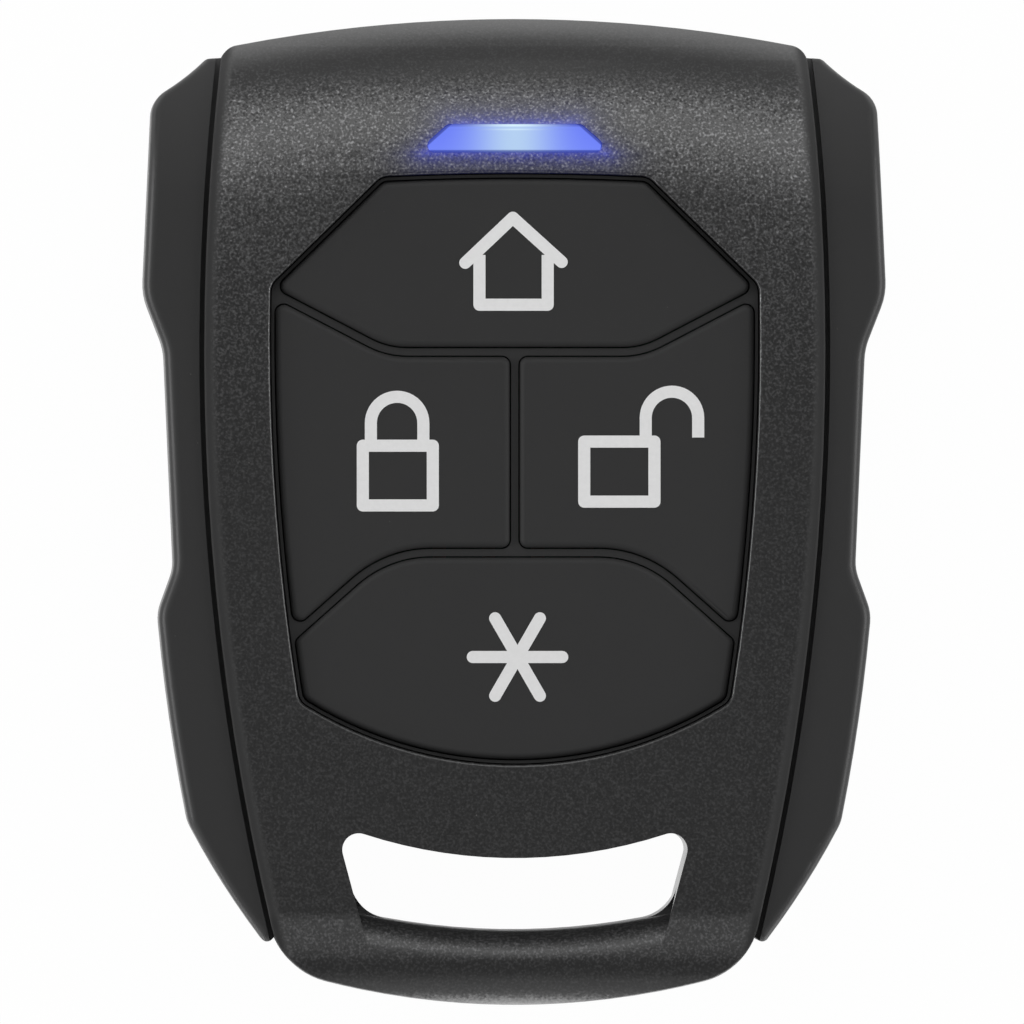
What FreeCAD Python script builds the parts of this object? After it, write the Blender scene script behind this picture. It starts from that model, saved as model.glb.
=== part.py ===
import FreeCAD, Part
import math
import operator
import os

import Sketcher
from FreeCAD import Placement, Rotation, Vector
from types import SimpleNamespace

# Car alarm remote, in millimetres. It lies on its flat back: X runs across, Y along with the
# lamp at +Y and the key ring slot at -Y, and Z up from the back to the face with the keys.

# Each driving size has one row: its name, its number and what it measures.
SIZES = (
    ("body_length", 60.0, "whole length, lamp end to key ring bar"),
    ("body_height", 14.0, "whole thickness, flat back to front face"),
    ("wall", 1.6, "wall of both shells"),
    ("parting_height", 7.0, "height at which the two shells meet"),
    ("seam_half_width", 18.88, "half width of the centre body where it is widest"),
    ("seam_radius", 152.0, "radius of the long seams beside the grips"),
    ("seam_apex", 9.8, "place along Y where the centre body is widest"),
    ("lamp_end_rise", 1.8, "how far the lamp end bows out past its corners"),
    ("ring_end_rise", 2.2, "how far the ring end bows out past its corners"),
    ("lamp_corner_round", 1.2, "upright rounding of the lamp end corners"),
    ("ring_corner_round", 4.5, "upright rounding of the ring end corners"),
    ("rear_end_round", 4.0, "rounding of both ends into the flat back"),
    ("bar_front_round", 2.6, "rounding of the ring end into the front face"),
    ("profile_overrun", 0.5, "how far the side profile runs out past the bowed ends"),
    ("roll_length", 11.5, "how far from the lamp end the face starts to roll off"),
    ("roll_drop", 6.5, "how far the face has dropped at the lamp end"),
    ("panel_edge_round", 0.15, "rounding of the front panel's rim"),
    ("rear_edge_round", 0.5, "rounding of the rear shell's rim"),
    ("grip_set_back", 0.35, "how far the grips lie below the shells' faces"),
    ("grip_front_round", 0.7, "rounding of the grips' front edge"),
    ("grip_rear_round", 0.6, "rounding of the grips' rear edge"),
    ("seam_gap", 0.3, "width of the open groove along each seam"),
    ("seam_depth", 1.2, "depth of that groove"),
    ("tip_stand", 0.9, "how far the grips' upper tip stands off the seam"),
    ("tip_inset", 2.45, "from the lamp end to the grips' upper tip"),
    ("tip_round", 0.6, "rounding of the upper tip"),
    ("tip_slope_bow", 0.15, "how far the slope from the upper tip bows inwards"),
    ("shoulder_stand", 3.94, "how far the grips' upper corner stands off the seam"),
    ("shoulder_inset", 4.9, "from the lamp end to the grips' upper corner"),
    ("shoulder_round", 1.8, "rounding of the grips' upper corner"),
    ("grip_full_width", 22.6, "half width above the thumb waist, the widest"),
    ("grip_full_place", 13.2, "place along Y of the widest corner"),
    ("waist_top_width", 21.31, "half width at the top of the waist"),
    ("waist_top_place", 9.9, "place along Y of the waist's top"),
    ("waist_low_width", 20.72, "half width at the foot of the waist"),
    ("waist_low_place", -3.5, "place along Y of the waist's foot"),
    ("hip_width", 21.68, "half width at the hip below the waist"),
    ("hip_place", -6.15, "place along Y of the hip"),
    ("waist_top_round", 4.0, "rounding of the two corners at the waist's top"),
    ("waist_foot_round", 2.8, "rounding of the two corners at the waist's foot"),
    ("flank_bow", 0.18, "how far the flank from the hip to the heel bows outwards"),
    ("heel_stand", 3.7, "how far the grips' lower corner stands off the seam"),
    ("heel_inset", 11.1, "from the ring end to the grips' lower corner"),
    ("heel_round", 2.5, "rounding of the grips' lower corner"),
    ("tail_stand", 0.58, "how far the grips' lower tip stands off the seam"),
    ("tail_inset", 3.65, "from the ring end to the grips' lower tip"),
    ("tail_slope_bow", 0.2, "how far the slope from the heel to the lower tip bows outwards"),
    ("tail_blunt", 0.6, "width of the blunt end of the lower tip"),
    ("tail_round", 0.4, "rounding of the lower tip"),
    ("tongue_depth", 0.8, "depth of the groove that holds each grip"),
    ("tongue_height", 1.6, "height of that groove"),
    ("tongue_length", 36.0, "length of that groove"),
    ("snug", 0.1, "clearance all round a part that sits in a pocket"),
    ("pad_top_half", 8.05, "half width of the keypad's top edge"),
    ("pad_top_inset", 9.8, "from the lamp end to the keypad's top corners"),
    ("pad_top_rise", 0.2, "how far the keypad's top edge bows out"),
    ("pad_side_half", 14.68, "half width at the keypad's side corners"),
    ("pad_side_inset", 16.3, "from the lamp end to the keypad's side corners"),
    ("pad_side_radius", 140.0, "radius of the keypad's long sides"),
    ("pad_low_half", 12.97, "half width at the keypad's lower corners"),
    ("pad_low_inset", 18.54, "from the ring end to the keypad's lower corners"),
    ("pad_low_rise", 3.77, "how far the keypad's lower edge bows out"),
    ("pad_corner_round", 0.9, "rounding of the keypad's corners"),
    ("pad_rim_round", 0.18, "rounding of the panel's edge round the keypad"),
    ("pad_gap", 0.34, "gap between the keys and the panel"),
    ("groove_width", 0.6, "gap between one key and the next"),
    ("rib_clearance", 0.08, "gap between the mat's ribs and what stands beside them"),
    ("upper_groove_inset", 20.3, "from the lamp end to the groove under the top key"),
    ("lower_groove_inset", 27.5, "from the ring end to the groove over the low key"),
    ("groove_bend", 7.75, "half width at which both grooves turn"),
    ("upper_slant_angle", 27.5, "angle of the upper groove's outer stretches"),
    ("lower_slant_angle", 41.6, "angle of the lower groove's outer stretches"),
    ("upper_bend_radius", 5.0, "radius of the upper groove's bends"),
    ("lower_bend_radius", 7.0, "radius of the lower groove's bends"),
    ("key_corner_round", 0.5, "rounding of the keys' corners"),
    ("key_top_round", 0.38, "rounding of the keys' top edges"),
    ("key_recess", 0.4, "how far the key tops lie below the face"),
    ("rib_recess", 0.75, "how far the mat's ribs lie below the face"),
    ("mat_thickness", 1.0, "thickness of the mat's flange"),
    ("mat_margin", 0.8, "how far the flange reaches past the keypad"),
    ("mat_leg_radius", 0.6, "radius of the mat's legs on the board"),
    ("mat_leg_offset", 0.95, "how far the legs stand outside the keypad's corners"),
    ("lip_margin", 0.4, "how far a key's lip reaches under the flange"),
    ("lip_thickness", 0.7, "thickness of the lip below each key"),
    ("post_radius", 1.75, "radius of the post under each key"),
    ("key_free_play", 0.25, "gap between a post and its plunger"),
    ("switch_stroke", 0.25, "stroke of a switch's plunger"),
    ("home_key_inset", 14.9, "from the lamp end to the top key's switch"),
    ("side_key_place", 3.8, "place along Y of the padlock keys' switches"),
    ("side_key_offset", 7.4, "place along X of the padlock keys' switches"),
    ("star_key_inset", 21.15, "from the ring end to the low key's switch"),
    ("lens_top_inset", 6.44, "from the lamp end to the lens's top edge"),
    ("lens_top_half", 4.09, "half width of the lens's top edge"),
    ("lens_low_inset", 8.18, "from the lamp end to the lens's lower edge"),
    ("lens_low_half", 6.04, "half width of the lens's lower edge"),
    ("lens_corner_round", 0.45, "rounding of the lens's corners"),
    ("lens_clearance", 0.06, "gap between the lens and the panel"),
    ("lens_margin", 0.5, "how far the lens's flange reaches past it"),
    ("lens_flange", 0.8, "thickness of the lens's flange"),
    ("light_pipe_radius", 1.5, "radius of the lens's stem over the lamp"),
    ("light_pipe_gap", 0.2, "gap between the stem and the lamp"),
    ("slot_top_half", 10.95, "half width of the key ring slot's top edge"),
    ("slot_top_inset", 11.03, "from the ring end to the slot's top corners"),
    ("slot_top_dip", 2.1, "how far the slot's top edge bows down"),
    ("slot_low_half", 9.5, "half width of the slot's lower edge"),
    ("slot_low_inset", 5.59, "from the ring end to the slot's lower corners"),
    ("slot_low_dip", 1.07, "how far the slot's lower edge bows down"),
    ("slot_top_round", 1.0, "rounding of the slot's top corners"),
    ("slot_low_round", 2.6, "rounding of the slot's lower corners"),
    ("slot_lip_round", 1.9, "rounding of the bar's inner edge"),
    ("slot_wall", 1.3, "wall between the slot and the hollow inside"),
    ("board_thickness", 1.0, "thickness of the circuit board"),
    ("board_height", 5.6, "height of the board's underside"),
    ("board_gap", 0.35, "gap between the board and the shells' walls"),
    ("board_top_inset", 4.6, "from the lamp end to the board's top edge"),
    ("board_low_inset", 12.4, "from the ring end to the board's lower edge"),
    ("switch_side", 5.2, "side of a switch's square housing"),
    ("switch_height", 1.5, "height of a switch's housing"),
    ("switch_bore", 1.2, "radius of the hole in a switch's housing"),
    ("switch_floor", 0.3, "floor left under the hole in a housing"),
    ("switch_chamfer", 0.3, "chamfer along a housing's top edges"),
    ("plunger_radius", 1.0, "radius of a switch's plunger"),
    ("plunger_proud", 0.5, "how far a plunger stands out of its housing"),
    ("screw_offset", 12.2, "place along X of the two shell screws"),
    ("screw_inset", 13.8, "from the ring end to the two shell screws"),
    ("screw_head_radius", 1.7, "radius of a screw's head"),
    ("screw_head_height", 1.1, "height of a screw's head"),
    ("screw_head_sunk", 0.6, "how deep a screw's head lies below the back"),
    ("screw_shank_radius", 0.9, "radius of a screw's shank"),
    ("screw_length", 9.0, "length of a screw under its head"),
    ("screw_cross_width", 0.45, "width of the cross in a screw's head"),
    ("screw_cross_depth", 0.6, "depth of the cross in a screw's head"),
    ("screw_clearance", 0.08, "gap between a screw and its holes"),
    ("boss_radius", 2.1, "radius of the bosses round the screws"),
    ("clamp_post_radius", 1.3, "radius of the posts that hold the board"),
    ("post_offset", 13.0, "place along X of those posts"),
    ("clamp_post_inset", 10.6, "from the lamp end to those posts"),
    ("rest_post_place", -9.0, "place along Y of the rear shell's lower posts"),
    ("hook_half_width", 4.0, "half width of the hook at the lamp end"),
    ("hook_thickness", 0.6, "thickness of that hook"),
    ("hook_reach", 1.6, "how far that hook reaches below the parting"),
    ("back_field_length", 24.0, "length of the shallow field in the back"),
    ("back_field_width", 19.0, "width of that field"),
    ("back_field_depth", 0.3, "depth of that field"),
    ("back_field_round", 2.0, "rounding of that field's corners"),
    ("cell_radius", 10.0, "radius of the coin cell"),
    ("cell_thickness", 3.2, "thickness of the coin cell"),
    ("cell_place", 0.0, "place along Y of the coin cell"),
    ("cell_lid_radius", 8.9, "radius of the cell's raised minus pole"),
    ("cell_lid_rise", 0.2, "how far the cell's minus pole stands out"),
    ("cell_edge_round", 0.5, "rounding of the cell's outer edge"),
    ("clip_thickness", 0.25, "thickness of the clip's spring sheet"),
    ("clip_width", 8.0, "width of the clip's strap"),
    ("clip_play", 0.3, "gap between the cell's side and the clip"),
    ("clip_foot", 1.6, "length of the clip's soldered feet"),
    ("contact_radius", 4.5, "radius of the minus contact's disc"),
    ("contact_thickness", 0.3, "thickness of the minus contact's disc"),
    ("lamp_length", 3.0, "length of the status lamp"),
    ("lamp_width", 1.6, "width of the status lamp"),
    ("lamp_height", 1.1, "height of the status lamp"),
    ("chip_length", 4.9, "length of the code chip's body"),
    ("chip_width", 3.9, "width of the code chip's body"),
    ("chip_height", 1.45, "height of the code chip's body"),
    ("chip_stand", 0.15, "gap under the code chip's body"),
    ("chip_lead_pitch", 1.27, "pitch of the code chip's leads"),
    ("chip_lead_width", 0.4, "width of a lead"),
    ("chip_lead_reach", 1.05, "how far a lead reaches out of the chip"),
    ("chip_lead_thickness", 0.2, "thickness of a lead"),
    ("chip_place", 3.8, "place along Y of the code chip"),
    ("can_radius", 2.3, "radius of the radio resonator's can"),
    ("can_height", 1.6, "height of the radio resonator's can"),
    ("can_place_x", -9.3, "place along X of the resonator"),
    ("can_place_y", 14.2, "place along Y of the resonator"),
    ("crystal_length", 5.0, "length of the crystal"),
    ("crystal_width", 2.2, "width of the crystal"),
    ("crystal_height", 1.2, "height of the crystal"),
    ("crystal_place_x", 9.3, "place along X of the crystal"),
    ("crystal_place_y", 14.2, "place along Y of the crystal"),
    ("crystal_round", 0.5, "rounding of the crystal's upright edges"),
    ("passive_length", 1.6, "length of a resistor or capacitor"),
    ("passive_width", 0.8, "width of a resistor or capacitor"),
    ("passive_height", 0.5, "height of a resistor or capacitor"),
    ("passive_pitch", 3.0, "pitch of the resistors and capacitors in a row"),
    ("upper_row_offset", 6.15, "from the low key's switch to the upper row of them"),
    ("lower_row_offset", 5.15, "from the low key's switch to the lower row of them"),
    ("antenna_margin", 0.7, "gap between the antenna and the board's edge"),
    ("antenna_width", 0.6, "width of the antenna's strip"),
    ("antenna_height", 0.8, "height of the antenna's strip"),
    ("antenna_clearance", 1.0, "gap between the antenna's feet and the mat's legs"),
)

OPERATIONS = {"+": operator.add, "-": operator.sub, "*": operator.mul, "/": operator.truediv}


class Measure:
    """A size: the formula that ties it to the sheet, and the number that it gives now."""

    def __init__(self, formula, number):
        self.formula = formula
        self.number = float(number)

    def __add__(self, other):
        return combined(self, "+", other)

    def __radd__(self, other):
        return combined(other, "+", self)

    def __sub__(self, other):
        return combined(self, "-", other)

    def __rsub__(self, other):
        return combined(other, "-", self)

    def __mul__(self, other):
        return combined(self, "*", other)

    def __rmul__(self, other):
        return combined(other, "*", self)

    def __truediv__(self, other):
        return combined(self, "/", other)

    def __neg__(self):
        return Measure(f"(-1 * {self.formula})", -self.number)


def measure(value):
    return value if isinstance(value, Measure) else Measure(f"({float(value)})", value)


def combined(left, sign, right):
    left = measure(left)
    right = measure(right)
    number = OPERATIONS[sign](left.number, right.number)
    return Measure(f"({left.formula} {sign} {right.formula})", number)


def root(value):
    return Measure(f"sqrt({value.formula})", math.sqrt(value.number))


def sine(angle):
    return Measure(f"sin({angle.formula})", math.sin(math.radians(angle.number)))


def cosine(angle):
    return Measure(f"cos({angle.formula})", math.cos(math.radians(angle.number)))


def tangent(angle):
    return Measure(f"tan({angle.formula})", math.tan(math.radians(angle.number)))


document = FreeCAD.newDocument("AlarmRemote")
sheet = document.addObject("Spreadsheet::Sheet", "Sizes")
size = SimpleNamespace()
for row, (alias, number, meaning) in enumerate(SIZES, start=1):
    sheet.set(f"A{row}", meaning)
    sheet.set(f"B{row}", str(number))
    sheet.setAlias(f"B{row}", alias)
    setattr(size, alias, Measure(f"Sizes.{alias}", number))
document.recompute()

UP = Vector(0, 0, 1)
ACROSS = Vector(1, 0, 0)
SIDE_VIEW = Placement(Vector(0, 0, 0), Rotation(Vector(0, 1, 0), Vector(0, 0, 1), ACROSS))
CLOSE = 1e-4
pieces = {}


def bind(thing, name, value):
    """Ties a property to the sheet."""
    thing.setExpression(name, measure(value).formula)


def rise_radius(half_chord, rise):
    """The radius of an arc from half its chord and its rise."""
    return (half_chord * half_chord + rise * rise) / (2 * rise)


def bow_radius(start, finish, rise):
    """The radius of an arc between two points from its rise."""
    across = measure(finish[0]) - start[0]
    along = measure(finish[1]) - start[1]
    return rise_radius(root(across * across + along * along) / 2, rise)


def bowed(start, finish, radius, side):
    """An arc between two points; side is 1 to bow outwards and -1 to bow inwards."""
    chord = finish - start
    outward = Vector(chord.y, -chord.x, 0).normalize() * side
    rise = radius - math.sqrt(radius * radius - chord.Length * chord.Length / 4)
    return Part.Arc(start, (start + finish) / 2 + outward * rise, finish)


def draw(sketch, corners, arcs):
    """Draws a closed outline in a sketch, anticlockwise, with every corner tied to the sheet."""
    points = [Vector(measure(x).number, measure(y).number, 0) for x, y in corners]
    edges = []
    for number, start in enumerate(points):
        finish = points[(number + 1) % len(points)]
        if number in arcs:
            radius, side = arcs[number]
            edge = sketch.addGeometry(bowed(start, finish, radius.number, side), False)
            first = 1 if sketch.getPoint(edge, 1).distanceToPoint(start) < CLOSE else 2
            sketch.addConstraint(Sketcher.Constraint("Radius", edge, radius.number))
            bind(sketch, f"Constraints[{sketch.ConstraintCount - 1}]", radius)
        else:
            edge = sketch.addGeometry(Part.LineSegment(start, finish), False)
            first = 1
        edges.append((edge, first, 3 - first))
    for number, (edge, first, last) in enumerate(edges):
        following = edges[(number + 1) % len(edges)]
        sketch.addConstraint(Sketcher.Constraint("Coincident", edge, last, *following[:2]))
        for kind, value in zip(("DistanceX", "DistanceY"), corners[number]):
            value = measure(value)
            link = Sketcher.Constraint(kind, -1, 1, edge, first, value.number)
            place = sketch.addConstraint(link)
            bind(sketch, f"Constraints[{place}]", value)
    return sketch


def outline(name, corners, arcs=None, view=None):
    """A closed outline as a face; arcs gives the radius and side of the edge after a corner."""
    sketch = draw(document.addObject("Sketcher::SketchObject", name), corners, arcs or {})
    if view:
        sketch.Placement = view
    face = document.addObject("Part::Face", f"{name}_face")
    face.Sources = [sketch]
    document.recompute()
    return face


def grown(name, face, distance, join="Arc"):
    """The face with its rim moved outwards by a distance."""
    result = document.addObject("Part::Offset2D", name)
    result.Source = face
    result.Join = join
    bind(result, "Value", distance)
    document.recompute()
    return result


def softened(name, face, radius):
    """The face with its outer corners rounded: drawn in sharp, then let out round."""
    drawn_in = grown(f"{name}_drawn_in", face, -radius, "Intersection")
    return grown(name, drawn_in, radius)


def prism(name, face, low, high):
    """A face on the ground plane, raised between two heights."""
    result = document.addObject("Part::Extrusion", name)
    result.Base = face
    result.DirMode = "Custom"
    result.Dir = UP
    result.Solid = True
    bind(result, "LengthFwd", high)
    bind(result, "LengthRev", -measure(low))
    document.recompute()
    return result


def crosswise(name, face, width):
    """A face in the side view, drawn out across the remote."""
    result = document.addObject("Part::Extrusion", name)
    result.Base = face
    result.DirMode = "Custom"
    result.Dir = ACROSS
    result.Solid = True
    result.Symmetric = True
    bind(result, "LengthFwd", width)
    document.recompute()
    return result


def place(thing, x=0.0, y=0.0, z=0.0):
    for axis, value in (("x", x), ("y", y), ("z", z)):
        bind(thing, f"Placement.Base.{axis}", value)
    return thing


def block(name, low, high):
    """A box between two corners."""
    result = document.addObject("Part::Box", name)
    for side, start, finish in zip(("Length", "Width", "Height"), low, high):
        bind(result, side, measure(finish) - start)
    place(result, *low)
    document.recompute()
    return result


def rod(name, x, y, low, high, radius):
    """An upright cylinder."""
    result = document.addObject("Part::Cylinder", name)
    bind(result, "Radius", radius)
    bind(result, "Height", measure(high) - low)
    place(result, x, y, low)
    document.recompute()
    return result


def cut(name, base, tool):
    result = document.addObject("Part::Cut", name)
    result.Base = base
    result.Tool = tool
    document.recompute()
    return result


def common(name, one, other):
    result = document.addObject("Part::Common", name)
    result.Base = one
    result.Tool = other
    document.recompute()
    return result


def fuse(name, *shapes):
    result = document.addObject("Part::MultiFuse", name)
    result.Shapes = list(shapes)
    document.recompute()
    return result


def group(name, shapes):
    """Separate solids that share one name."""
    result = document.addObject("Part::Compound", name)
    result.Links = list(shapes)
    document.recompute()
    return result


def body_on(name, base):
    """A body that starts from a shape, ready for roundings."""
    body = document.addObject("PartDesign::Body", name)
    body.BaseFeature = base
    document.recompute()
    return body


def rounded(body, name, radius, wanted):
    """Rounds the edges that are wanted, by a test on each edge."""
    base = body.Tip
    names = [f"Edge{n}" for n, edge in enumerate(base.Shape.Edges, start=1) if wanted(edge)]
    if not names:
        raise ValueError(f"{name}: no edge to round")
    fillet = body.newObject("PartDesign::Fillet", name)
    fillet.Base = (base, names)
    bind(fillet, "Radius", radius)
    document.recompute()
    return body


def middle(edge):
    return edge.valueAt((edge.FirstParameter + edge.LastParameter) / 2)


def upright_at(*corners):
    """Picks the upright edges that stand at given corners, left or right."""
    def wanted(edge):
        start, finish = edge.Vertexes[0].Point, edge.Vertexes[-1].Point
        if abs(start.z - finish.z) < CLOSE or (start - finish).cross(UP).Length > CLOSE:
            return False
        for x, y in corners:
            across = abs(abs(start.x) - abs(measure(x).number))
            if across < 0.05 and abs(start.y - measure(y).number) < 0.05:
                return True
        return False
    return wanted


def level_at(height):
    """Picks the edges that lie at one height."""
    def wanted(edge):
        return all(abs(v.Z - height.number) < CLOSE for v in edge.Vertexes) and \
            abs(middle(edge).z - height.number) < CLOSE
    return wanted


def keep(node, thing):
    """Names a finished piece."""
    thing.Label = node
    pieces[node] = thing
    return thing


def origin_plane(body, role):
    return next(item for item in body.Origin.OriginFeatures if item.Role == role)


def sketch_on(body, name, role, corners, arcs=None):
    """A closed outline on one of a body's own planes."""
    sketch = body.newObject("Sketcher::SketchObject", name)
    sketch.AttachmentSupport = [(origin_plane(body, role), "")]
    sketch.MapMode = "FlatFace"
    draw(sketch, corners, arcs or {})
    document.recompute()
    return sketch


def turned(name, profile):
    """A body turned about its own upright axis, from its half profile of radius and height."""
    body = document.addObject("PartDesign::Body", name)
    sketch = sketch_on(body, f"{name}_profile", "XZ_Plane", profile)
    turn = body.newObject("PartDesign::Revolution", f"{name}_turn")
    turn.Profile = sketch
    turn.ReferenceAxis = (sketch, ["V_Axis"])
    turn.Angle = 360
    document.recompute()
    return body


def raised(name, corners, low, high, role="XY_Plane"):
    """A body raised from an outline on its own ground plane."""
    body = document.addObject("PartDesign::Body", name)
    sketch = sketch_on(body, f"{name}_outline", role, corners)
    pad = body.newObject("PartDesign::Pad", f"{name}_pad")
    pad.Profile = sketch
    bind(pad, "Length", measure(high) - low)
    place(body, z=low)
    document.recompute()
    return body


def rectangle(half_x, half_y):
    return [(-half_x, -half_y), (half_x, -half_y), (half_x, half_y), (-half_x, half_y)]


def mirrored(right_side):
    """An outline's corners from its right side, listed from the low end to the top end."""
    return list(right_side) + [(-measure(x), y) for x, y in reversed(right_side)]


# Heights that several pieces share.
half_length = size.body_length / 2
overall_half_width = size.grip_full_width + size.grip_set_back
board_top = size.board_height + size.board_thickness
switch_top = board_top + size.switch_height
plunger_top = switch_top + size.plunger_proud
post_low = plunger_top + size.key_free_play
ceiling = size.body_height - size.wall
mat_top = ceiling - size.snug
mat_low = ceiling - size.mat_thickness
key_top = size.body_height - size.key_recess
rib_top = size.body_height - size.rib_recess
key_low = mat_low - size.snug

# Places along Y, counted from the end that each form keeps its distance to.
roll_start = half_length - size.roll_length
tip_place = half_length - size.tip_inset
shoulder_place = half_length - size.shoulder_inset
heel_place = size.heel_inset - half_length
tail_place = size.tail_inset - half_length
lens_top = half_length - size.lens_top_inset
lens_low = half_length - size.lens_low_inset
pad_top = half_length - size.pad_top_inset
pad_side = half_length - size.pad_side_inset
pad_low = size.pad_low_inset - half_length
upper_groove = half_length - size.upper_groove_inset
lower_groove = size.lower_groove_inset - half_length
home_key_place = half_length - size.home_key_inset
star_key_place = size.star_key_inset - half_length
slot_top = size.slot_top_inset - half_length
slot_low = size.slot_low_inset - half_length
board_end = half_length - size.board_top_inset
board_start = size.board_low_inset - half_length
screw_place = size.screw_inset - half_length
clamp_post_place = half_length - size.clamp_post_inset
upper_row = star_key_place + size.upper_row_offset
lower_row = star_key_place - size.lower_row_offset
antenna_start = pad_side + size.mat_leg_radius + size.antenna_clearance


# The centre body: its plan between the two seams, and its side profile.

def seam_half(along):
    """Half the width between the seams at a place along the remote."""
    reach = measure(along) - size.seam_apex
    return size.seam_half_width - size.seam_radius + root(
        size.seam_radius * size.seam_radius - reach * reach)


lamp_corner = half_length - size.lamp_end_rise
ring_corner = size.ring_end_rise - half_length
lamp_half = seam_half(lamp_corner)
ring_half = seam_half(ring_corner)
centre_plan = outline(
    "centre_plan",
    [(ring_half, ring_corner), (lamp_half, lamp_corner),
     (-lamp_half, lamp_corner), (-ring_half, ring_corner)],
    {0: (size.seam_radius, 1), 1: (rise_radius(lamp_half, size.lamp_end_rise), 1),
     2: (size.seam_radius, 1), 3: (rise_radius(ring_half, size.ring_end_rise), 1)})

roll_reach = half_length - roll_start
roll_radius = rise_radius(roll_reach, size.roll_drop)
profile_end = half_length + size.profile_overrun
profile_reach = profile_end - roll_start
roll_end = size.body_height - roll_radius + root(
    roll_radius * roll_radius - profile_reach * profile_reach)
side_profile = outline(
    "side_profile",
    [(size.rear_end_round - profile_end, 0), (profile_end - size.rear_end_round, 0),
     (profile_end, size.rear_end_round), (profile_end, roll_end),
     (roll_start, size.body_height),
     (size.bar_front_round - profile_end, size.body_height),
     (-profile_end, size.body_height - size.bar_front_round),
     (-profile_end, size.rear_end_round)],
    {1: (size.rear_end_round, 1), 3: (roll_radius, 1), 5: (size.bar_front_round, 1),
     7: (size.rear_end_round, 1)},
    SIDE_VIEW)

centre_block = prism("centre_block", centre_plan, 0, size.body_height)
centre_body = body_on("centre_body", centre_block)
rounded(centre_body, "lamp_corners", size.lamp_corner_round,
        upright_at((lamp_half, lamp_corner)))
rounded(centre_body, "ring_corners", size.ring_corner_round,
        upright_at((ring_half, ring_corner)))
profile_block = crosswise("profile_block", side_profile, 2 * overall_half_width)
centre_form = common("centre_form", centre_body, profile_block)

inner_profile = grown("inner_profile", side_profile, -size.wall, "Intersection")
inner_profile_block = crosswise("inner_profile_block", inner_profile, 2 * overall_half_width)
seat_profile = grown("seat_profile", inner_profile, -size.snug, "Intersection")
seat_profile_block = crosswise("seat_profile_block", seat_profile, 2 * overall_half_width)
inner_plan = grown("inner_plan", centre_plan, -size.wall, "Intersection")
inner_block = prism("inner_block", inner_plan, 0, size.body_height)
hollow_end = slot_top + size.slot_wall
hollow_limit = block("hollow_limit", (-overall_half_width, hollow_end, 0),
                     (overall_half_width, half_length, size.body_height))
hollow = common("hollow", common("inner_form", inner_block, inner_profile_block), hollow_limit)

lifted = size.body_height + size.wall
sunk = -size.wall

# The key ring slot, through both shells, and the rounded inner edge of the bar beyond it.
slot_low_radius = rise_radius(size.slot_low_half, size.slot_low_dip)
slot_sharp = outline(
    "slot_sharp",
    [(-size.slot_low_half, slot_low), (size.slot_low_half, slot_low),
     (size.slot_top_half, slot_top), (-size.slot_top_half, slot_top)],
    {0: (slot_low_radius, 1), 2: (rise_radius(size.slot_top_half, size.slot_top_dip), -1)})
slot_block = body_on("slot_block", prism("slot_sharp_block", slot_sharp, sunk, lifted))
rounded(slot_block, "slot_top_corners", size.slot_top_round,
        upright_at((size.slot_top_half, slot_top)))
rounded(slot_block, "slot_low_corners", size.slot_low_round,
        upright_at((size.slot_low_half, slot_low)))
bar_edge = slot_low - size.slot_low_dip
lip_end = bar_edge - 2 * size.slot_lip_round
side_slope = (size.slot_top_half - size.slot_low_half) / (
    slot_top - slot_low)
lip_end_half = size.slot_low_half + side_slope * (lip_end - slot_low)
lip_plan = outline("lip_plan", mirrored([(lip_end_half, lip_end),
                                         (size.slot_top_half, slot_top)]))
lip_sides = prism("lip_sides", lip_plan, sunk, lifted)


def bar_lip(name, face_height, side):
    """What the rounding of the bar's inner edge takes away, between the slot's two sides."""
    reach = size.slot_lip_round
    corners = [(bar_edge, face_height - side * reach),
               (bar_edge + reach, face_height - side * 3 * reach),
               (bar_edge + reach, face_height + side * reach),
               (bar_edge - reach, face_height + side * reach),
               (bar_edge - reach, face_height)]
    arc_start = 4
    if side < 0:
        corners = [corners[0]] + corners[:0:-1]
        arc_start = 0
    face = outline(f"{name}_section", corners, {arc_start: (reach, -1)}, SIDE_VIEW)
    sweep = document.addObject("Part::Revolution", f"{name}_sweep")
    sweep.Source = face
    sweep.Axis = UP
    sweep.Symmetric = True
    sweep.Angle = 90
    bind(sweep, "Base.y", bar_edge + slot_low_radius)
    document.recompute()
    return common(name, sweep, lip_sides)


# Both shells start from the centre body with its rims rounded and the slot cut.

def rim(low, high):
    """Picks the edges of the rim between two heights, not the smooth lines across a face."""
    def wanted(edge):
        start, finish = edge.Vertexes[0].Point, edge.Vertexes[-1].Point
        straight = abs((finish - start).Length - edge.Length) < CLOSE
        across = abs(start.y - finish.y) < CLOSE and straight
        standing = (finish - start).cross(UP).Length < CLOSE and straight
        return not across and not standing and low < middle(edge).z < high
    return wanted


shell_form = body_on("shell_form", centre_form)
half_height = size.parting_height.number
rounded(shell_form, "front_rim", size.panel_edge_round, rim(half_height, lifted.number))
rounded(shell_form, "rear_rim", size.rear_edge_round, rim(sunk.number, half_height))
slotted = cut("slotted", shell_form, slot_block)
slotted = cut("slotted_front", slotted, bar_lip("front_lip", size.body_height, 1))
slotted = cut("slotted_rear", slotted, bar_lip("rear_lip", measure(0), -1))

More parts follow.
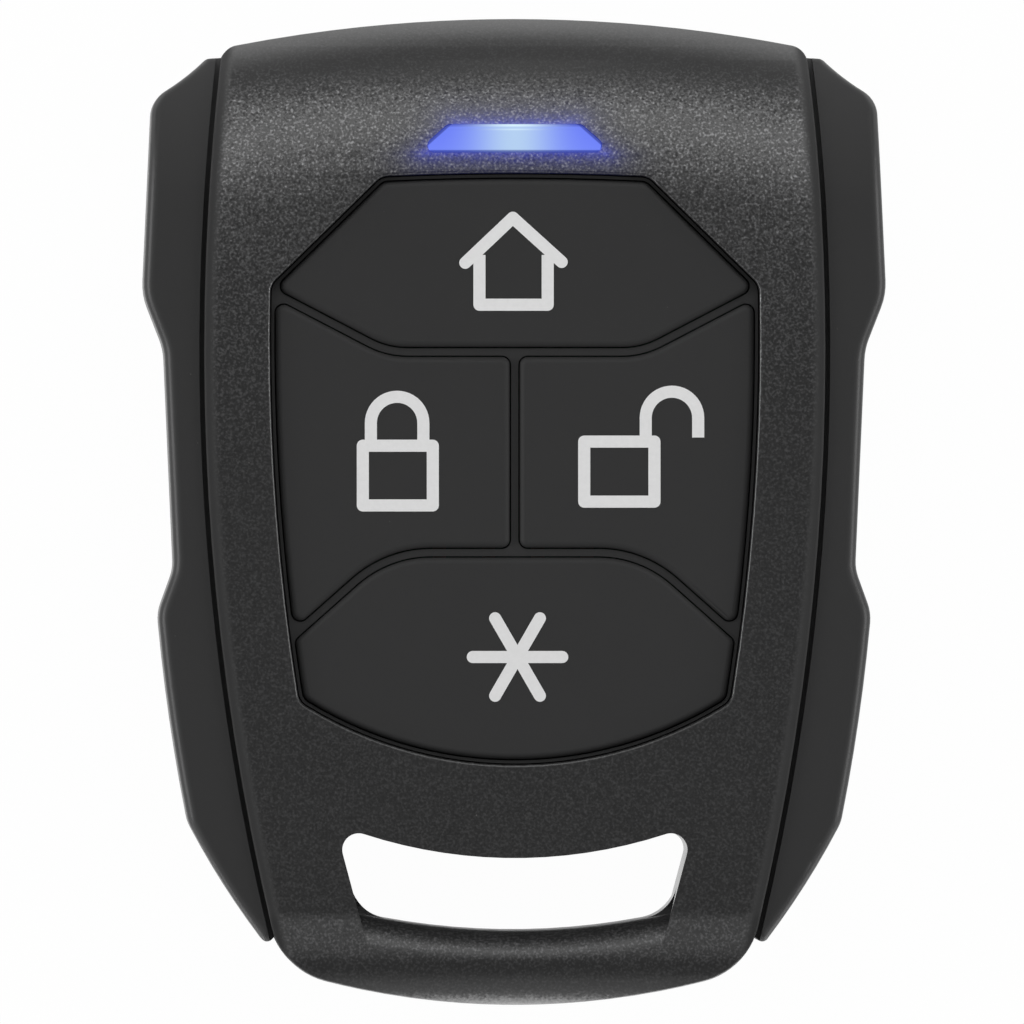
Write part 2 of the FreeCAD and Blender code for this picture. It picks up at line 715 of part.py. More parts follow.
# The keypad's plan, and the four cells that the grooves divide it into.
pad_sharp = outline(
    "pad_sharp",
    mirrored([(size.pad_low_half, pad_low),
              (size.pad_side_half, pad_side),
              (size.pad_top_half, pad_top)]),
    {0: (size.pad_side_radius, 1), 2: (rise_radius(size.pad_top_half, size.pad_top_rise), 1),
     4: (size.pad_side_radius, 1), 5: (rise_radius(size.pad_low_half, size.pad_low_rise), 1)})
pad_plan = softened("pad_plan", pad_sharp, size.pad_corner_round)
key_area = grown("key_area", pad_plan, -size.pad_gap / 2)
lip_area = grown("lip_area", pad_plan, size.lip_margin - size.pad_gap / 2)


def groove_line(level, slant, radius, side):
    """One half of a groove's middle line: the bend's two ends, and the far end."""
    reach = radius * tangent(slant / 2)
    start = (size.groove_bend - reach, level)
    finish = (size.groove_bend + reach * cosine(slant), level + side * reach * sine(slant))
    fall = (half_length - size.groove_bend) * tangent(slant)
    return start, finish, (half_length, level + side * fall)


upper_line = groove_line(upper_groove, size.upper_slant_angle, size.upper_bend_radius, 1)
lower_line = groove_line(lower_groove, size.lower_slant_angle, size.lower_bend_radius, -1)
upper_bend = size.upper_bend_radius
lower_bend = size.lower_bend_radius


def left(points):
    return [(-measure(x), y) for x, y in points]


far_top = (half_length, half_length)
far_low = (half_length, -half_length)
cells = {
    "home_key": (mirrored([*upper_line, far_top]), {0: (upper_bend, 1), 6: (upper_bend, 1)}),
    "star_key": (mirrored([far_low, *reversed(lower_line)]),
                 {2: (lower_bend, 1), 4: (lower_bend, 1)}),
    "unlock_key": ([(0, lower_groove), *lower_line, *reversed(upper_line),
                    (0, upper_groove)],
                   {1: (lower_bend, -1), 5: (upper_bend, -1)}),
    "lock_key": ([(0, upper_groove), *left(upper_line), *left(reversed(lower_line)),
                  (0, lower_groove)],
                 {1: (upper_bend, -1), 5: (lower_bend, -1)}),
}
key_places = {
    "home_key": (measure(0), home_key_place),
    "lock_key": (-size.side_key_offset, size.side_key_place),
    "unlock_key": (size.side_key_offset, size.side_key_place),
    "star_key": (measure(0), star_key_place),
}
key_plans = {}


def make_key(node):
    """A rubber key: a cap with a rounded top, a lip under the mat, and a post over its switch."""
    corners, arcs = cells[node]
    cell = grown(f"{node}_cell", outline(f"{node}_lines", corners, arcs),
                 -size.groove_width / 2, "Intersection")
    area = common(f"{node}_area", key_area, cell)
    plan = softened(f"{node}_plan", area, size.key_corner_round)
    key_plans[node] = plan
    cap = body_on(f"{node}_cap", prism(f"{node}_block", plan, key_low, key_top))
    rounded(cap, f"{node}_top_edge", size.key_top_round, level_at(key_top))
    lip_plan = common(f"{node}_lip_plan", lip_area, cell)
    lip = prism(f"{node}_lip", lip_plan, key_low - size.lip_thickness, key_low)
    x, y = key_places[node]
    post = rod(f"{node}_post", x, y, post_low, key_low, size.post_radius)
    return keep(node, fuse(f"{node}_whole", cap, lip, post))


def make_mat():
    """The mat that frames the keys: a flange under the panel, ribs round the keys, and legs."""
    flange = common("mat_flange", prism("mat_flange_block", grown(
        "mat_flange_plan", pad_plan, size.mat_margin), mat_low, mat_top), seat_profile_block)
    rib_area = grown("mat_rib_plan", pad_plan, size.pad_gap / 2 - size.rib_clearance)
    ribs = prism("mat_ribs", rib_area, mat_low, rib_top)
    mat = fuse("mat_sheet", flange, ribs)
    for node, plan in key_plans.items():
        window = grown(f"{node}_window", plan, size.rib_clearance)
        mat = cut(f"mat_round_{node}", mat, prism(f"{node}_window_block", window, sunk, lifted))
    legs = []
    for x, y in ((size.pad_side_half, pad_side),
                 (size.pad_low_half, pad_low)):
        reach = x + size.mat_leg_offset
        for number, side in enumerate((reach, -reach)):
            legs.append(rod(f"mat_leg_{number}", side, y, board_top, mat_top,
                            size.mat_leg_radius))
    return keep("keypad_mat", fuse("mat_whole", mat, *legs))


# The lens over the status lamp, and the hole in the panel that it fills.
lens_sharp = outline(
    "lens_sharp",
    mirrored([(size.lens_low_half, lens_low),
              (size.lens_top_half, lens_top)]))
lens_hole = softened("lens_hole", lens_sharp, size.lens_corner_round)
lens_middle = (lens_top + lens_low) / 2
lamp_top = board_top + size.lamp_height


def make_lens():
    """A clear lens: a head flush with the panel, a flange behind it and a stem to the lamp."""
    head_plan = grown("lens_head_plan", lens_hole, -size.lens_clearance)
    head = common("lens_head", prism("lens_head_block", head_plan, size.parting_height, lifted),
                  profile_block)
    flange_plan = grown("lens_flange_plan", lens_hole, size.lens_margin)
    flange = common("lens_flange", prism("lens_flange_block", flange_plan,
                                         size.parting_height, lifted), seat_profile_block)
    behind = grown("lens_back", seat_profile, -size.lens_flange, "Intersection")
    plate = cut("lens_plate", fuse("lens_front", head, flange),
                crosswise("lens_back_block", behind, 2 * overall_half_width))
    stem = common("lens_stem", rod("lens_stem_rod", 0, lens_middle,
                                   lamp_top + size.light_pipe_gap, ceiling,
                                   size.light_pipe_radius), seat_profile_block)
    return keep("led_lens", fuse("lens_whole", plate, stem))


# Screws, posts and the hook hold the shells and the board together.
screw_seat = size.screw_head_sunk + size.screw_head_height
screw_tip = screw_seat + size.screw_length
left_and_right = (("left", -1), ("right", 1))


def at_both(make, name, x, y, low, high, radius):
    return [make(f"{name}_{word}", side * x, y, low, high, radius)
            for word, side in left_and_right]


def tongue_band(name, depth, clearance):
    """The space of the grip's tongue, outside a line inside the seam."""
    reach = size.tongue_length / 2 - clearance
    rise = size.tongue_height / 2 - clearance
    band = block(f"{name}_band", (-overall_half_width, -reach, size.parting_height - rise),
                 (overall_half_width, reach, size.parting_height + rise))
    core = prism(f"{name}_core", grown(f"{name}_core_plan", centre_plan, -depth, "Intersection"),
                 sunk, lifted)
    return cut(name, band, core)


tongue_groove = tongue_band("tongue_groove", size.tongue_depth, measure(0))
hook_middle = half_length - size.wall / 2


def hook_block(name, clearance, top):
    reach = size.hook_thickness / 2 + clearance
    return block(name, (-size.hook_half_width - clearance, hook_middle - reach,
                        size.parting_height - size.hook_reach - clearance),
                 (size.hook_half_width + clearance, hook_middle + reach, top))


def make_front_shell():
    """The front shell with the panel, its openings, two screw bosses, two posts and a hook."""
    upper = block("upper_half", (-overall_half_width, -half_length, size.parting_height),
                  (overall_half_width, half_length, lifted))
    shell = cut("front_hollowed", common("front_half", slotted, upper), hollow)
    opening = grown("pad_opening", pad_plan, size.pad_gap / 2)
    shell = cut("front_pad_cut", shell, prism("pad_opening_block", opening, mat_low, lifted))
    top_corner = pad_top + size.pad_gap
    low_end = pad_low - size.pad_low_rise - size.pad_gap

    def opening_rim(edge):
        point = middle(edge)
        return point.z > key_top.number and low_end.number < point.y < top_corner.number and \
            abs(point.x) < (size.pad_side_half + size.pad_gap).number

    shell = rounded(body_on("front_opened", shell), "pad_rim", size.pad_rim_round, opening_rim)
    shell = cut("front_lens_cut", shell,
                prism("lens_hole_block", lens_hole, size.parting_height, lifted))
    shell = cut("front_grooved", shell, tongue_groove)
    bosses = at_both(rod, "front_boss", size.screw_offset, screw_place,
                     size.parting_height, ceiling + size.wall / 4, size.boss_radius)
    posts = at_both(rod, "clamp_post", size.post_offset, clamp_post_place,
                    board_top, ceiling + size.wall / 4, size.clamp_post_radius)
    hook = hook_block("hook", measure(0), size.parting_height + size.wall / 2)
    shell = fuse("front_fitted", shell, *bosses, *posts, hook)
    for bore in at_both(rod, "pilot", size.screw_offset, screw_place,
                        sunk, screw_tip + size.snug,
                        size.screw_shank_radius + size.screw_clearance):
        shell = cut(f"front_{bore.Name}", shell, bore)
    return keep("front_shell", shell)


def make_rear_shell():
    """The rear shell: flat back with a bare field, screw bosses and the board's rests."""
    lower = block("lower_half", (-overall_half_width, -half_length, sunk),
                  (overall_half_width, half_length, size.parting_height))
    shell = cut("rear_hollowed", common("rear_half", slotted, lower), hollow)
    shell = cut("rear_grooved", shell, tongue_groove)
    shell = cut("rear_hooked", shell,
                hook_block("hook_pocket", size.snug, lifted))
    bosses = at_both(rod, "rear_boss", size.screw_offset, screw_place,
                     size.wall / 2, size.parting_height, size.boss_radius)
    rests = at_both(rod, "upper_rest", size.post_offset, clamp_post_place,
                    size.wall / 2, size.board_height, size.clamp_post_radius)
    rests += at_both(rod, "lower_rest", size.post_offset, size.rest_post_place,
                     size.wall / 2, size.board_height, size.clamp_post_radius)
    shell = fuse("rear_fitted", shell, *bosses, *rests)
    holes = at_both(rod, "screw_hole", size.screw_offset, screw_place,
                    sunk, lifted, size.screw_shank_radius + size.screw_clearance)
    holes += at_both(rod, "head_hole", size.screw_offset, screw_place,
                     sunk, screw_seat, size.screw_head_radius + size.screw_clearance)
    for hole in holes:
        shell = cut(f"rear_{hole.Name}", shell, hole)
    field = softened("back_field", outline("back_field_sharp", rectangle(
        size.back_field_width / 2, size.back_field_length / 2)), size.back_field_round)
    shell = cut("rear_whole", shell,
                prism("back_field_block", field, sunk, size.back_field_depth))
    return keep("rear_shell", shell)


def make_grips():
    """The two soft side grips, whose tongues sit in the groove along the shells' parting."""
    inner = size.seam_half_width / 2
    tip = (seam_half(tip_place) + size.tip_stand, tip_place)
    shoulder = (seam_half(shoulder_place) + size.shoulder_stand, shoulder_place)
    widest = (size.grip_full_width, size.grip_full_place)
    waist_top = (size.waist_top_width, size.waist_top_place)
    waist_foot = (size.waist_low_width, size.waist_low_place)
    hip = (size.hip_width, size.hip_place)
    heel = (seam_half(heel_place) + size.heel_stand, heel_place)
    tail = (seam_half(tail_place) + size.tail_stand, tail_place)
    tail_inner = (tail[0] - size.tail_blunt, tail_place + size.tail_blunt)
    right_side = [(inner, heel_place), tail_inner, tail, heel, hip, waist_foot, waist_top,
                  widest, shoulder, tip, (inner, lamp_corner)]
    right_arcs = {2: (bow_radius(tail, heel, size.tail_slope_bow), 1),
                  3: (bow_radius(heel, hip, size.flank_bow), 1),
                  8: (bow_radius(shoulder, tip, size.tip_slope_bow), -1)}
    grip_profile = grown("grip_profile", side_profile, -size.grip_set_back)
    grip_profile_block = crosswise("grip_profile_block", grip_profile, 2 * overall_half_width)
    tongues = common("tongues", tongue_band("tongue_space", size.tongue_depth - size.snug,
                                            size.snug), centre_block)
    seam_outside = prism("seam_outside", grown("seam_outside_plan", centre_plan, size.seam_gap,
                                               "Intersection"), sunk, lifted)
    seam_floor = crosswise("seam_floor", grown("seam_floor_profile", side_profile,
                                               -size.seam_depth, "Intersection"),
                           2 * overall_half_width)
    seam_groove = cut("seam_groove", seam_outside, seam_floor)
    for word, side in left_and_right:
        corners = right_side
        arcs = right_arcs
        if side < 0:
            corners = [(-measure(x), y) for x, y in reversed(right_side)]
            arcs = {len(corners) - 2 - number: arc for number, arc in right_arcs.items()}
        grip = body_on(f"{word}_grip_body", prism(f"{word}_grip_block", outline(
            f"{word}_grip_plan", corners, arcs), 0, size.body_height))
        rounded(grip, f"{word}_tip", size.tip_round, upright_at(tip))
        rounded(grip, f"{word}_shoulder", size.shoulder_round, upright_at(shoulder))
        rounded(grip, f"{word}_waist_top", size.waist_top_round, upright_at(waist_top, widest))
        rounded(grip, f"{word}_waist_foot", size.waist_foot_round, upright_at(waist_foot, hip))
        rounded(grip, f"{word}_heel", size.heel_round, upright_at(heel))
        rounded(grip, f"{word}_tail", size.tail_round, upright_at(tail))
        shaped = common(f"{word}_grip_form", grip, grip_profile_block)
        shaped = cut(f"{word}_grip_seam", shaped, centre_block)
        soft = body_on(f"{word}_grip_soft", shaped)

        def outer(low, high):
            def wanted(edge):
                point = middle(edge)
                on_rim = rim(low, high)(edge)
                return on_rim and abs(point.x) > seam_half(point.y).number + CLOSE
            return wanted

        rounded(soft, f"{word}_grip_front", size.grip_front_round,
                outer(half_height, lifted.number))
        rounded(soft, f"{word}_grip_rear", size.grip_rear_round,
                outer(sunk.number, half_height))
        low_x, high_x = (0, overall_half_width) if side > 0 else (-overall_half_width, 0)
        tongue = common(f"{word}_tongue", tongues, block(
            f"{word}_side", (low_x, -half_length, sunk), (high_x, half_length, lifted)))
        grooved = cut(f"{word}_grip_grooved", soft, seam_groove)
        keep(f"{word}_grip", fuse(f"{word}_grip_whole", grooved, tongue))


def make_screws():
    """Two self-tapping screws from the back, with cross recesses."""
    screws = []
    for word, side in left_and_right:
        head = size.screw_head_height
        screw = turned(f"{word}_screw", [
            (0, 0), (size.screw_head_radius, 0), (size.screw_head_radius, head),
            (size.screw_shank_radius, head),
            (size.screw_shank_radius, head + size.screw_length - size.screw_shank_radius),
            (0, head + size.screw_length)])
        arm = size.screw_head_radius * 0.6
        slit = size.screw_cross_width / 2
        for number, (half_x, half_y) in enumerate(((arm, slit), (slit, arm))):
            recess = block(f"{word}_cross_{number}", (-half_x, -half_y, -size.snug),
                           (half_x, half_y, size.screw_cross_depth))
            screw = cut(f"{word}_screw_cut_{number}", screw, recess)
        place(screw, side * size.screw_offset, screw_place, size.screw_head_sunk)
        screws.append(screw)
    return keep("shell_screws", group("screws", screws))


# The board and what is soldered to it.
board_band = outline("board_band", [
    (-overall_half_width, board_start), (overall_half_width, board_start),
    (overall_half_width, board_end), (-overall_half_width, board_end)])
board_plan = common("board_plan", grown("board_fit", inner_plan, -size.board_gap,
                                        "Intersection"), board_band)


def make_board():
    """The board, with its low corners left out for the screw bosses."""
    board = prism("board_blank", board_plan, size.board_height, board_top)
    notch_x = size.screw_offset - size.boss_radius - size.board_gap
    notch_y = screw_place + size.boss_radius + size.board_gap
    for word, low_x, high_x in (("right", notch_x, overall_half_width),
                                ("left", -overall_half_width, -notch_x)):
        notch = block(f"{word}_notch", (low_x, -half_length, sunk), (high_x, notch_y, lifted))
        board = cut(f"board_{word}", board, notch)
    return keep("circuit_board", board)


def make_switch(name, x, y):
    """A tact switch: a square housing with a hole, and the plunger that the key presses."""
    half = size.switch_side / 2
    housing = raised(f"{name}_base", rectangle(half, half), board_top, switch_top)
    pad = housing.Tip
    chamfer = housing.newObject("PartDesign::Chamfer", f"{name}_chamfer")
    edges = [f"Edge{n}" for n, edge in enumerate(pad.Shape.Edges, start=1)
             if level_at(size.switch_height)(edge)]
    chamfer.Base = (pad, edges)
    bind(chamfer, "Size", size.switch_chamfer)
    place(housing, x, y, board_top)
    document.recompute()
    floor = board_top + size.switch_floor
    hole = rod(f"{name}_hole", x, y, floor, lifted, size.switch_bore)
    keep(f"{name}_housing", cut(f"{name}_housing_whole", housing, hole))
    height = plunger_top - floor - size.switch_stroke - size.snug
    bevel = size.plunger_radius - size.switch_chamfer / 2
    plunger = turned(f"{name}_pin", [
        (0, 0), (size.plunger_radius, 0), (size.plunger_radius, height - size.switch_chamfer / 2),
        (bevel, height), (0, height)])
    place(plunger, x, y, floor + size.switch_stroke + size.snug)
    keep(f"{name}_plunger", plunger)


def make_lamp():
    lamp = raised("lamp_body", rectangle(size.lamp_length / 2, size.lamp_width / 2),
                  board_top, lamp_top)
    place(lamp, 0, lens_middle, board_top)
    return keep("status_led", lamp)


def steps_about_middle(count):
    """Evenly spaced steps, as many below the middle as above it."""
    return [number - (count - 1) / 2 for number in range(count)]


def make_chip():
    """The code chip: a moulded body on eight bent leads."""
    stand = board_top + size.chip_stand
    body = block("chip_body", (-size.chip_width / 2, size.chip_place - size.chip_length / 2, stand),
                 (size.chip_width / 2, size.chip_place + size.chip_length / 2,
                  stand + size.chip_height))
    sheet_metal = size.chip_lead_thickness
    root_height = stand + size.chip_height / 2
    root_x = size.chip_width / 2 - size.chip_lead_thickness
    knee = size.chip_width / 2 + size.chip_lead_reach / 2
    toe = size.chip_width / 2 + size.chip_lead_reach
    leads = []
    for word, side in left_and_right:
        for step in steps_about_middle(4):
            middle_y = size.chip_place + step * size.chip_lead_pitch
            low_y = middle_y - size.chip_lead_width / 2
            high_y = middle_y + size.chip_lead_width / 2
            for part, low_x, high_x, low_z, high_z in (
                    ("shoulder", root_x, knee, root_height, root_height + sheet_metal),
                    ("shin", knee - sheet_metal, knee, board_top, root_height + sheet_metal),
                    ("toe", knee - sheet_metal, toe, board_top, board_top + sheet_metal)):
                ends = (low_x, high_x) if side > 0 else (-high_x, -low_x)
                leads.append(block(f"lead_{part}", (ends[0], low_y, low_z),
                                   (ends[1], high_y, high_z)))
    return keep("encoder_chip", fuse("chip_whole", body, *leads))


def make_resonator():
    edge = size.chip_lead_thickness
    can = turned("can", [
        (0, 0), (size.can_radius, 0), (size.can_radius, edge),
        (size.can_radius - edge, edge), (size.can_radius - edge, size.can_height - edge),
        (size.can_radius - 2 * edge, size.can_height), (0, size.can_height)])
    place(can, size.can_place_x, size.can_place_y, board_top)
    return keep("rf_resonator", can)


def make_crystal():
    half_x, half_y = size.crystal_length / 2, size.crystal_width / 2
    crystal = raised("crystal_can", rectangle(half_x, half_y),
                     board_top, board_top + size.crystal_height)
    rounded(crystal, "crystal_sides", size.crystal_round,
            upright_at((half_x, half_y), (half_x, -half_y)))
    place(crystal, size.crystal_place_x, size.crystal_place_y, board_top)
    return keep("crystal", crystal)


def make_passives():
    """The resistors and capacitors, in two rows of four."""
    chips = []
    for row_place in (upper_row, lower_row):
        for step in steps_about_middle(4):
            x = step * size.passive_pitch
            low = (x - size.passive_width / 2, row_place - size.passive_length / 2, board_top)
            high = (x + size.passive_width / 2, row_place + size.passive_length / 2,
                    board_top + size.passive_height)
            chips.append(block("passive", low, high))
    return keep("chip_passives", group("passives", chips))


def make_antenna():
    """A stamped strip that stands along the lamp end's edge of the board."""
    outer = prism("antenna_outer", grown("antenna_outer_plan", board_plan, -size.antenna_margin,
                                         "Intersection"),
                  board_top, board_top + size.antenna_height)
    inner = prism("antenna_inner", grown("antenna_inner_plan", board_plan,
                                         -size.antenna_margin - size.antenna_width,
                                         "Intersection"), sunk, lifted)
    stretch = block("antenna_stretch", (-overall_half_width, antenna_start, sunk),
                    (overall_half_width, half_length, lifted))
    return keep("loop_antenna",
                common("antenna", cut("antenna_loop", outer, inner), stretch))


cell_low = size.board_height - size.contact_thickness - size.snug - size.cell_thickness


def make_cell():
    """The coin cell, plus pole down, with its raised minus pole towards the board."""
    can_height = size.cell_thickness - size.cell_lid_rise
    body = turned("cell", [
        (0, 0), (size.cell_radius, 0), (size.cell_radius, can_height),
        (size.cell_lid_radius, can_height), (size.cell_lid_radius, size.cell_thickness),
        (0, size.cell_thickness)])

    def outer_edge(edge):
        return level_at(measure(0))(edge) and edge.BoundBox.XLength > size.cell_radius.number

    rounded(body, "cell_edge", size.cell_edge_round, outer_edge)
    place(body, 0, size.cell_place, cell_low)
    return keep("coin_cell", body)


def make_clip():
    """A spring strap under the cell, with its feet soldered to the board's underside."""
    sheet_metal = size.clip_thickness
    inside = size.cell_radius + size.clip_play
    outside = inside + sheet_metal
    toe = outside + size.clip_foot
    top = size.board_height - cell_low + sheet_metal
    right = [(outside, 0), (outside, top - sheet_metal), (toe, top - sheet_metal), (toe, top),
             (inside, top), (inside, sheet_metal)]
    body = document.addObject("PartDesign::Body", "clip")
    sketch = sketch_on(body, "clip_section", "XZ_Plane", mirrored(right))
    pad = body.newObject("PartDesign::Pad", "clip_pad")
    pad.Profile = sketch
    pad.Midplane = True
    bind(pad, "Length", size.clip_width)
    place(body, 0, size.cell_place, cell_low - sheet_metal)
    document.recompute()
    return keep("battery_clip", body)


def make_contact():
    thickness = size.contact_thickness
    body = turned("contact", [
        (0, 0), (size.contact_radius - thickness, 0), (size.contact_radius, thickness),
        (0, thickness)])
    place(body, 0, size.cell_place, size.board_height - thickness)
    return keep("battery_contact", body)


for key in key_places:
    make_key(key)
make_mat()
make_lens()
make_front_shell()
make_rear_shell()
make_grips()
make_screws()
make_board()
for key, (key_x, key_y) in key_places.items():
    make_switch(key.replace("_key", "_switch"), key_x, key_y)
make_lamp()
make_chip()
make_resonator()
make_crystal()
make_passives()
make_antenna()
make_cell()
make_clip()
make_contact()
document.recompute()

for thing in document.Objects:
    if "Invalid" in thing.State or "Error" in thing.State:
        raise ValueError(f"{thing.Name} did not compute")
for node, piece in pieces.items():
    if piece.Shape.isNull() or not piece.Shape.isValid():
        raise ValueError(f"{node} has no valid shape")

os.makedirs("parts", exist_ok=True)
for node, piece in pieces.items():
    piece.Shape.exportStep(f"parts/{node}.step")
    print(f"{node}: {len(piece.Shape.Solids)} solid, {piece.Shape.Volume:.1f} cubic millimetres")
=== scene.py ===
import math

import bmesh
import bpy
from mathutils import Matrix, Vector
from mathutils.geometry import delaunay_2d_cdt


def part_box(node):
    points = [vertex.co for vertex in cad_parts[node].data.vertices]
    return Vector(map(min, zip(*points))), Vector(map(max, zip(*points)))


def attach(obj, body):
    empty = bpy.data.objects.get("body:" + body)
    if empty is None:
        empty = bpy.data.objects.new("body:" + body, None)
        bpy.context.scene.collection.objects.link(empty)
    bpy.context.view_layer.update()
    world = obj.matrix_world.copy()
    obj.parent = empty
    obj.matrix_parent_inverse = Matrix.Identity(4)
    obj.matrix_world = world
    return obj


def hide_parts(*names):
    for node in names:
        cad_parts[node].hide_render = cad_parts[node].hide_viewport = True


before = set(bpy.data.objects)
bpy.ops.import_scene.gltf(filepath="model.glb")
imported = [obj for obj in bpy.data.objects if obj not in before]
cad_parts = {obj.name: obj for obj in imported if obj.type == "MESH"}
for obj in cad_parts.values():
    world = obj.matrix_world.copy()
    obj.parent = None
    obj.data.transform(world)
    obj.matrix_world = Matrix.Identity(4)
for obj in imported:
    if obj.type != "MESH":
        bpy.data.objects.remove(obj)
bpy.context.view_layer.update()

MM = 0.001


# Front shell: one moulding of black plastic. Its face was spark-eroded in the mould, which
# leaves a fine sparkling grain up to a plain margin along the seams. A painted blue glow,
# given as emission of the shell, stands for the lamp's light on the grain around the lens.
class Level:
    """A number that varies over a surface; sums and products with it add Math nodes."""

    def __init__(self, finish, socket):
        self.finish = finish
        self.socket = socket

    def worked(self, operation, *values):
        """The result of a Math node."""
        return self.finish.add("ShaderNodeMath", {"operation": operation},
                               dict(enumerate(values)))

    def __add__(self, other):
        return self.worked("ADD", self, other)

    def __sub__(self, other):
        return self.worked("SUBTRACT", self, other)

    def __mul__(self, other):
        return self.worked("MULTIPLY", self, other)

    def __truediv__(self, other):
        return self.worked("DIVIDE", self, other)

    __radd__ = __add__
    __rmul__ = __mul__

    def __rsub__(self, other):
        return self.worked("SUBTRACT", other, self)

    def __rpow__(self, other):
        return self.worked("POWER", other, self)

    def __abs__(self):
        return self.worked("ABSOLUTE", self)

    def root(self):
        return self.worked("SQRT", self)

    def at_least(self, other):
        return self.worked("MAXIMUM", self, other)

    def at_most(self, other):
        return self.worked("MINIMUM", self, other)

    def rising(self, start, end):
        """0 before start, 1 after end, and a smooth step between them."""
        return self.finish.add(
            "ShaderNodeMapRange", {"interpolation_type": "SMOOTHSTEP"},
            {"Value": self, "From Min": start, "From Max": end})


class Finish:
    """The nodes of one material, or of the world: a shader and what feeds it."""

    def __init__(self, owner, coordinates="Object", unit=MM):
        owner.use_nodes = True
        self.owner = owner
        self.tree = owner.node_tree
        self.tree.nodes.clear()
        self.place = self.add("ShaderNodeTexCoord", output=coordinates)
        self.x, self.y, self.z = (self.part(self.place, axis) / unit for axis in range(3))

    def add(self, kind, settings=None, sockets=None, output=0):
        """Adds a node: its settings first, then the values or links of its sockets."""
        node = self.tree.nodes.new(kind)
        for name, value in (settings or {}).items():
            setattr(node, name, value)
        for name, value in (sockets or {}).items():
            socket = node.inputs[name]
            if isinstance(value, Level):
                self.tree.links.new(value.socket, socket)
            elif socket.type == "RGBA":
                socket.default_value = (*value, 1.0)
            else:
                socket.default_value = value
        return Level(self, node.outputs[output]) if node.outputs else None

    def part(self, vector, axis):
        """A vector's share along one axis: 0, 1 or 2 for X, Y or Z."""
        return self.add("ShaderNodeSeparateXYZ", None, {0: vector}, axis)

    def vector(self, operation, *values):
        """The result of a Vector Math node."""
        return self.add("ShaderNodeVectorMath", {"operation": operation},
                        dict(enumerate(values)))

    def straight_out(self):
        """The direction that the surface itself faces."""
        return self.add("ShaderNodeNewGeometry", output="Normal")

    def facing(self, axis):
        """How far the surface faces along an axis, either way: 0 to 1."""
        return abs(self.part(self.straight_out(), axis))

    def noise(self, size, detail=2.0, output=0):
        """A cloudy noise between 0 and 1, whose patches are about one size across, in mm."""
        return self.add("ShaderNodeTexNoise", None, {
            "Vector": self.place, "Scale": 1 / (size * MM), "Detail": detail}, output)

    def specks(self, spacing, radius):
        """Fine dust: small round specks of a radius, about one to each spacing, in mm."""
        reach = radius / spacing
        off_speck = self.add("ShaderNodeTexVoronoi", None, {
            "Vector": self.place, "Scale": 1 / (spacing * MM)})
        return 1.0 - off_speck.rising(reach / 2, reach)

    def blend(self, share, first, second):
        """A colour between two colours, which are sockets 6 and 7 of a Mix node."""
        return self.add("ShaderNodeMix", {"data_type": "RGBA"}, {
            0: share, 6: first, 7: second}, 2)

    def grains(self, size, lean, forward):
        """The surface's direction: each grain, one size across in mm, leans its own way, and
        all of them lean forward, along +Y."""
        lottery = self.noise(size, 1.5, "Color")
        aside = self.add("ShaderNodeVectorMath", {"operation": "SCALE"}, {
            0: self.vector("SUBTRACT", lottery, (0.5, 0.5, 0.5)), "Scale": lean})
        onward = self.add("ShaderNodeCombineXYZ", None, {"Y": forward})
        leant = self.vector("ADD", self.straight_out(), self.vector("ADD", aside, onward))
        return self.vector("NORMALIZE", leant)

    def shown(self, shader, output="ShaderNodeOutputMaterial"):
        """Links the shader to the output, and gives back the finished material or world."""
        self.add(output, None, {"Surface": shader})
        return self.owner

    def surface(self, **sockets):
        """A Principled shader, with each socket's name in small letters."""
        names = {name.replace("_", " ").title().replace("Ior", "IOR"): value
                 for name, value in sockets.items()}
        return self.shown(self.add("ShaderNodeBsdfPrincipled", None, names))


def new_finish(name):
    return Finish(bpy.data.materials.new(name))


# The two seams are arcs, and the grain fades in between two distances inside them, in mm.
SEAM_HALF, SEAM_RADIUS, SEAM_APEX = 18.88, 152.0, 9.8
MARGIN = (0.25, 0.9)

# The lens opening: each end slopes inwards by the taper for each mm towards the lamp end, so a
# step along X is only partly a step away from the end.
LENS_TOP, LENS_LOW, LENS_HALF, LENS_TAPER = 23.56, 21.82, 6.04, 1.12
LENS_SLANT = 1 / math.hypot(1.0, LENS_TAPER)

# Where each change along the panel begins and where it is complete, in mm from the middle of
# the remote: first those towards the lamp end, and then those towards the key ring end.
SPARKLE_GROWS, GRAIN_DEEPENS, FACE_TILTS = (0.0, 16.0), (6.0, 20.0), (9.5, 18.5)
BOW_BEGINS, ROLL_RISES = (14.0, 20.0), (21.5, 25.0)
ROLL_CREST, ROLL_OUTSIDE = (25.1, 27.4), (26.0, 27.6)
SLOT_BEGINS, SLOT_ENDS = (19.0, 19.5), (26.6, 27.2)
LIP_BEGINS, LIP_ENDS, BAR_END = (24.2, 25.0), (26.8, 27.8), (26.0, 28.4)

# Across the panel: the slot's two sides, and the X where the bow and the roll lean neither way.
SLOT_SIDES = (11.0, 12.0)
BOW_LEVEL, ROLL_LEVEL = 10.583, 13.784


def inside_margin(finish):
    """1 on the grained field, and 0 in the plain margin beside the seams."""
    reach = finish.y - SEAM_APEX
    seam = (SEAM_RADIUS * SEAM_RADIUS - reach * reach).root() + (SEAM_HALF - SEAM_RADIUS)
    return (seam - abs(finish.x)).rising(*MARGIN)


def slot_walls(finish):
    """1 on the two walls of the key ring slot that face each other across the remote."""
    down = 0.0 - finish.y
    return (finish.facing(0).rising(0.5, 0.8) * down.rising(*SLOT_BEGINS)
            * (1.0 - down.rising(*SLOT_ENDS)) * (1.0 - abs(finish.x).rising(*SLOT_SIDES)))


